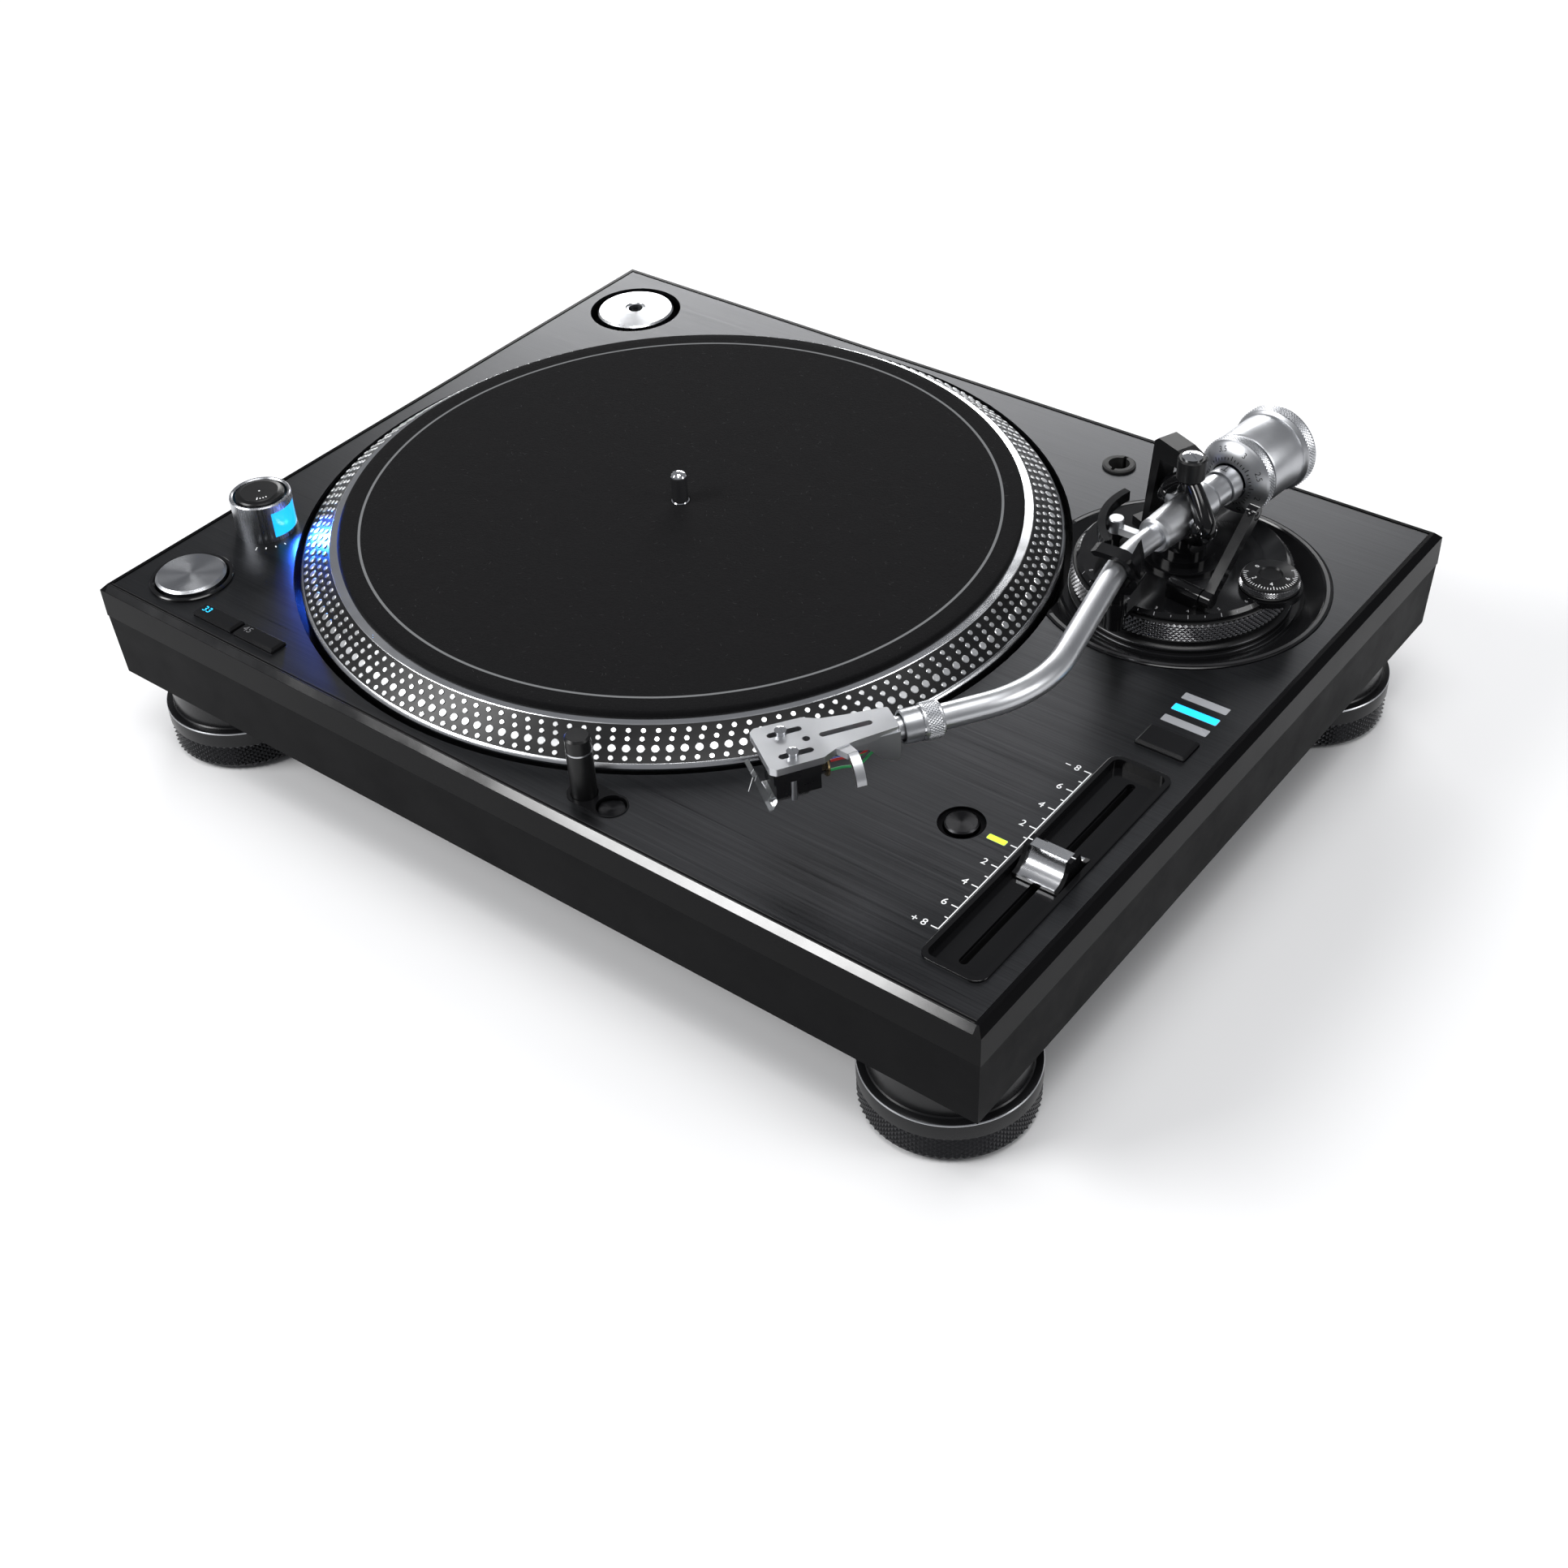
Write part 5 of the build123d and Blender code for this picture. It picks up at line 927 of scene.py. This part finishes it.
# ------------------------------------------------------------------ power dial and strobe tower
def power_dial():
    """The power dial on the strobe tower, its marks, and the dots beside the tower."""
    centre = middle("power_dial")
    place = Matrix.Translation((centre.x, centre.y, DECK))
    r = 11.6
    profile = [(0, 13.9), (r - 1.2, 13.9), (r - 0.8, 14.6), (r - 0.8, 17.3), (r - 1.4, 17.9), (r - 3.0, 18.1),
               (r - 3.4, 18.4), (0, 18.4)]
    lathe("power_dial_turned", profile, place, satin, "dial_power", segments=120)
    stem = lathe("power_dial_stem", [(0, -6), (3, -6), (3, 14), (0, 14)], place, satin, "dial_power",
                 segments=48)
    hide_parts("power_dial")
    knurl("power_dial_knurl", place, (r - 0.78, 14.9), (r - 1.35, 17.75), 0.5, 48, 2, knurled, "dial_power")
    marks = [(place @ shift(0, 0, 18.41), 0.0, 0.0, 0.7, 0.7, 0.03)]
    for k in range(4):
        t = place @ rotate(radians(-50 + 12 * k)) @ shift(6.4, 0, 18.41)
        marks.append((t, 0, 0, 1.8 if k == 0 else 0.8, 0.45, 0.03))
    blocks("power_dial_marks", marks, white_print, "dial_power")
    dots = []
    for k in range(4):
        a = radians(-58 + 14 * k)
        dots.append((flat(centre.x / MM + 17.5 * cos(a), centre.y / MM + 17.5 * sin(a),
                          (PANEL - DECK) / MM, -58 + 14 * k), 0, 0, 1.3 if k else 2.4, 0.5 if k else 0.35,
                     0.03))
    blocks("power_scale", dots, white_print, "cabinet")


power_dial()

# ------------------------------------------------------------------ print and lights on the deck
panel_z = (PANEL - DECK) / MM + 0.005
scale_items = []
x0, y0, tempo_step = 187.3, -93.7, 6.275
for k in range(-8, 9):
    y = y0 + k * tempo_step
    long = k % 2 == 0
    scale_items.append((flat(x0, y, panel_z), -(1.5 if long else 0.8), 0, 3.0 if long else 1.6, 0.5, 0.03))
scale_items.append((flat(x0, y0, panel_z), 0, 0, 0.45, 100.8, 0.03))
for k in (-1, 1):
    scale_items.append((flat(177.4, y0 + k * 8 * tempo_step, panel_z), 0, 0, 2.2, 0.45, 0.03))
scale_items.append((flat(177.4, y0 - 8 * tempo_step, panel_z), 0, 0, 0.45, 2.2, 0.03))
blocks("tempo_scale", scale_items, white_print, "cabinet")
for k in (-4, -3, -2, -1, 1, 2, 3, 4):
    label(f"tempo_number_{k + 4}", str(abs(k) * 2), 4.6, flat(181.4, y0 + 2 * k * tempo_step, panel_z),
          white_print, "cabinet")
key_top = (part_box("speed_33_button")[1].z - DECK) / MM + 0.005
for text, node, finish in (("33", "speed_33_button", cyan_print), ("45", "speed_45_button", grey_print)):
    c = middle(node)
    label("key_label_" + text, text, 4.6, flat(c.x / MM - 7.4, c.y / MM + 0.4, key_top), finish,
          "key_33" if text == "33" else "key_45")
lens_z = (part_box("indicator_lenses")[1].z - DECK) / MM


def lit(name, x, y, w, h, finish):
    """A glowing bar with round corners over one of the indicator lenses."""
    corner = []
    for sx, sy, start in ((1, 1, 0), (-1, 1, 90), (-1, -1, 180), (1, -1, 270)):
        for k in range(5):
            a = radians(start + 22.5 * k)
            corner.append((x + sx * (w / 2 - 0.5) + 0.5 * cos(a), y + sy * (h / 2 - 0.5) + 0.5 * sin(a)))
    vertices = [Vector((px * MM, py * MM, DECK + (lens_z + dz) * MM)) for dz in (0.0, 0.12) for px,
                py in corner]
    n = len(corner)
    faces = [tuple(range(n, 2 * n))] + [(k, (k + 1) % n, n + (k + 1) % n, n + k) for k in range(n)]
    piece(name, vertices, faces, finish, "cabinet")


lit("range_bar_lit", 201.5, 9.3, 19.0, 3.9, cyan_lit)
lit("reset_bar_lit", 178.8, -94.0, 7.7, 2.6, green_lit)


# ------------------------------------------------------------------ polished bevel and grooves in front
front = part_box("top_casing")[0].y / MM
bevel_front = at(0, front + RIM_BEVEL / 2, 0.01 - RIM_BEVEL / 2) @ rotate(radians(45), "X")
blocks("front_bevel", [(bevel_front, 0, 0, 446.0, 3.5, 0.02)], rim_polish, "cabinet")
grooves = [(flat(0, y, 0.004), 0, 0, 444.0, 0.3, 0.01) for y in (-172.4, -173.6)]
blocks("front_grooves", grooves, dark_print, "cabinet")


# ------------------------------------------------------------------ slider cap's black ends
def slider_ends():
    """Black end plates of the tempo slider's cap, each with a white line."""
    low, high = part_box("slider_cap")
    for side, x in (("left", low.x), ("right", high.x)):
        place = Matrix.Translation((x, middle("slider_cap").y, DECK))
        outline = [(-10.7, -2.9), (10.7, -2.9), (10.7, -1.3), (8.0, -0.9), (6.0, 0.6), (4.4, 3.0), (3.2, 6.9),
                   (-3.2, 6.9), (-4.4, 3.0), (-6.0, 0.6), (-8.0, -0.9), (-10.7, -1.3)]
        width = 1.5
        xs = (-0.25, width) if side == "left" else (-width, 0.25)
        vertices = [place @ Vector((px * MM, y * MM, z * MM)) for px in xs for y, z in outline]
        n = len(outline)
        faces = [tuple(range(n)), tuple(reversed(range(n, 2 * n)))]
        faces += [(k, k + n, (k + 1) % n + n, (k + 1) % n) for k in range(n)]
        piece("slider_end_" + side, vertices, faces, gloss, "tempo_cap", smooth=False)
        top = place @ Matrix.Translation((sum(xs) / 2 * MM, 0, 6.91 * MM))
        blocks("slider_line_" + side, [(top, 0, 0, width + 0.2, 0.5, 0.03)], white_print, "tempo_cap")


slider_ends()

# ------------------------------------------------------------------ lamp's band and strobe's spill
lamp = middle("target_lamp")
lathe("lamp_band", [(5.0, 20.4), (5.06, 20.4), (5.06, 21.1), (5.0, 21.1)],
      Matrix.Translation((lamp.x, lamp.y, DECK)), steel, "lamp", segments=64)
spill = bpy.data.lights.new("strobe_spill", "SPOT")
spill.color = (0.02, 0.12, 1.0)
spill.energy = 0.5
spill.shadow_soft_size = 0.004
spill.spot_size = radians(110)
spill.spot_blend = 0.8
spill_obj = bpy.data.objects.new("strobe_spill", spill)
tower = middle("strobe_tower")
spill_obj.location = (tower.x + 0.0155 * cos(radians(18)), tower.y + 0.0155 * sin(radians(18)), DECK + 0.0085)
aim = Vector((cos(radians(-5)), sin(radians(-5)), -0.35))
spill_obj.rotation_euler = aim.to_track_quat("-Z", "Y").to_euler()
show(spill_obj)

# ------------------------------------------------------------------ floor, light and camera
floor_mesh = bpy.data.meshes.new("studio_floor")
floor_mesh.from_pydata([(-6, -6, 0), (6, -6, 0), (6, 6, 0), (-6, 6, 0)], [], [(0, 1, 2, 3)])
floor_obj = bpy.data.objects.new("studio_floor", floor_mesh)
show(floor_obj)
paper = Finish("paper_white", (0.86, 0.86, 0.865), 0.0, 0.7)
paper.roughness(paper.noise(9.0, 4.0), 0.62, 0.78)
paper.bump(paper.noise(500.0, 3.0), 0.05, 0.0001)
floor_mesh.materials.append(paper.mat)

world = bpy.data.worlds.new("studio")
bpy.context.scene.world = world
world.use_nodes = True
world.node_tree.nodes["Background"].inputs["Color"].default_value = (0.93, 0.95, 1.0, 1.0)
world.node_tree.nodes["Background"].inputs["Strength"].default_value = 0.22


def softbox(name, direction, distance, size, power):
    """A rectangular light that looks at the middle of the deck."""
    light = bpy.data.lights.new(name, "AREA")
    light.shape = "RECTANGLE"
    light.size, light.size_y = size
    light.energy = power
    obj = bpy.data.objects.new(name, light)
    d = Vector(direction).normalized()
    obj.location = d * distance + Vector((0, 0, 0.08))
    obj.rotation_euler = d.to_track_quat("Z", "Y").to_euler()
    show(obj)


for name, direction, distance, size, power in (
        ("box_top", (0.15, -0.1, 1.0), 2.4, (1.4, 1.4), 36.0),
        ("box_front_left", (-0.49, -0.64, 0.59), 2.0, (1.0, 0.5), 26.0),
        ("box_back", (-0.62, 1.0, 0.42), 2.4, (1.7, 0.6), 30.0),
        ("box_right", (1.0, 0.25, 0.6), 2.2, (0.6, 1.0), 10.0)):
    softbox(name, direction, distance, size, power)

camera = bpy.data.cameras.new("camera")
camera.sensor_width = 36.0
camera.lens = 2598.54 / 1932 * 36.0
camera.shift_x = 0.00898
camera.shift_y = 0.00083
camera.clip_end = 20.0
camera_obj = bpy.data.objects.new("camera", camera)
show(camera_obj)
bpy.context.scene.camera = camera_obj
azimuth, elevation, roll = radians(39.987), radians(40.265), radians(-3.406)
look = Vector((-cos(elevation) * sin(azimuth), cos(elevation) * cos(azimuth), -sin(elevation)))
right = look.cross(UP).normalized()
above = right.cross(look)
tilted_right = right * cos(roll) + above * sin(roll)
tilted_up = above * cos(roll) - right * sin(roll)
pose = Matrix((tilted_right, tilted_up, -look)).transposed().to_4x4()
pose.translation = Vector((0.47837, -0.57606, 0.59082))
camera_obj.matrix_world = pose

bpy.context.scene.view_settings.view_transform = "Standard"
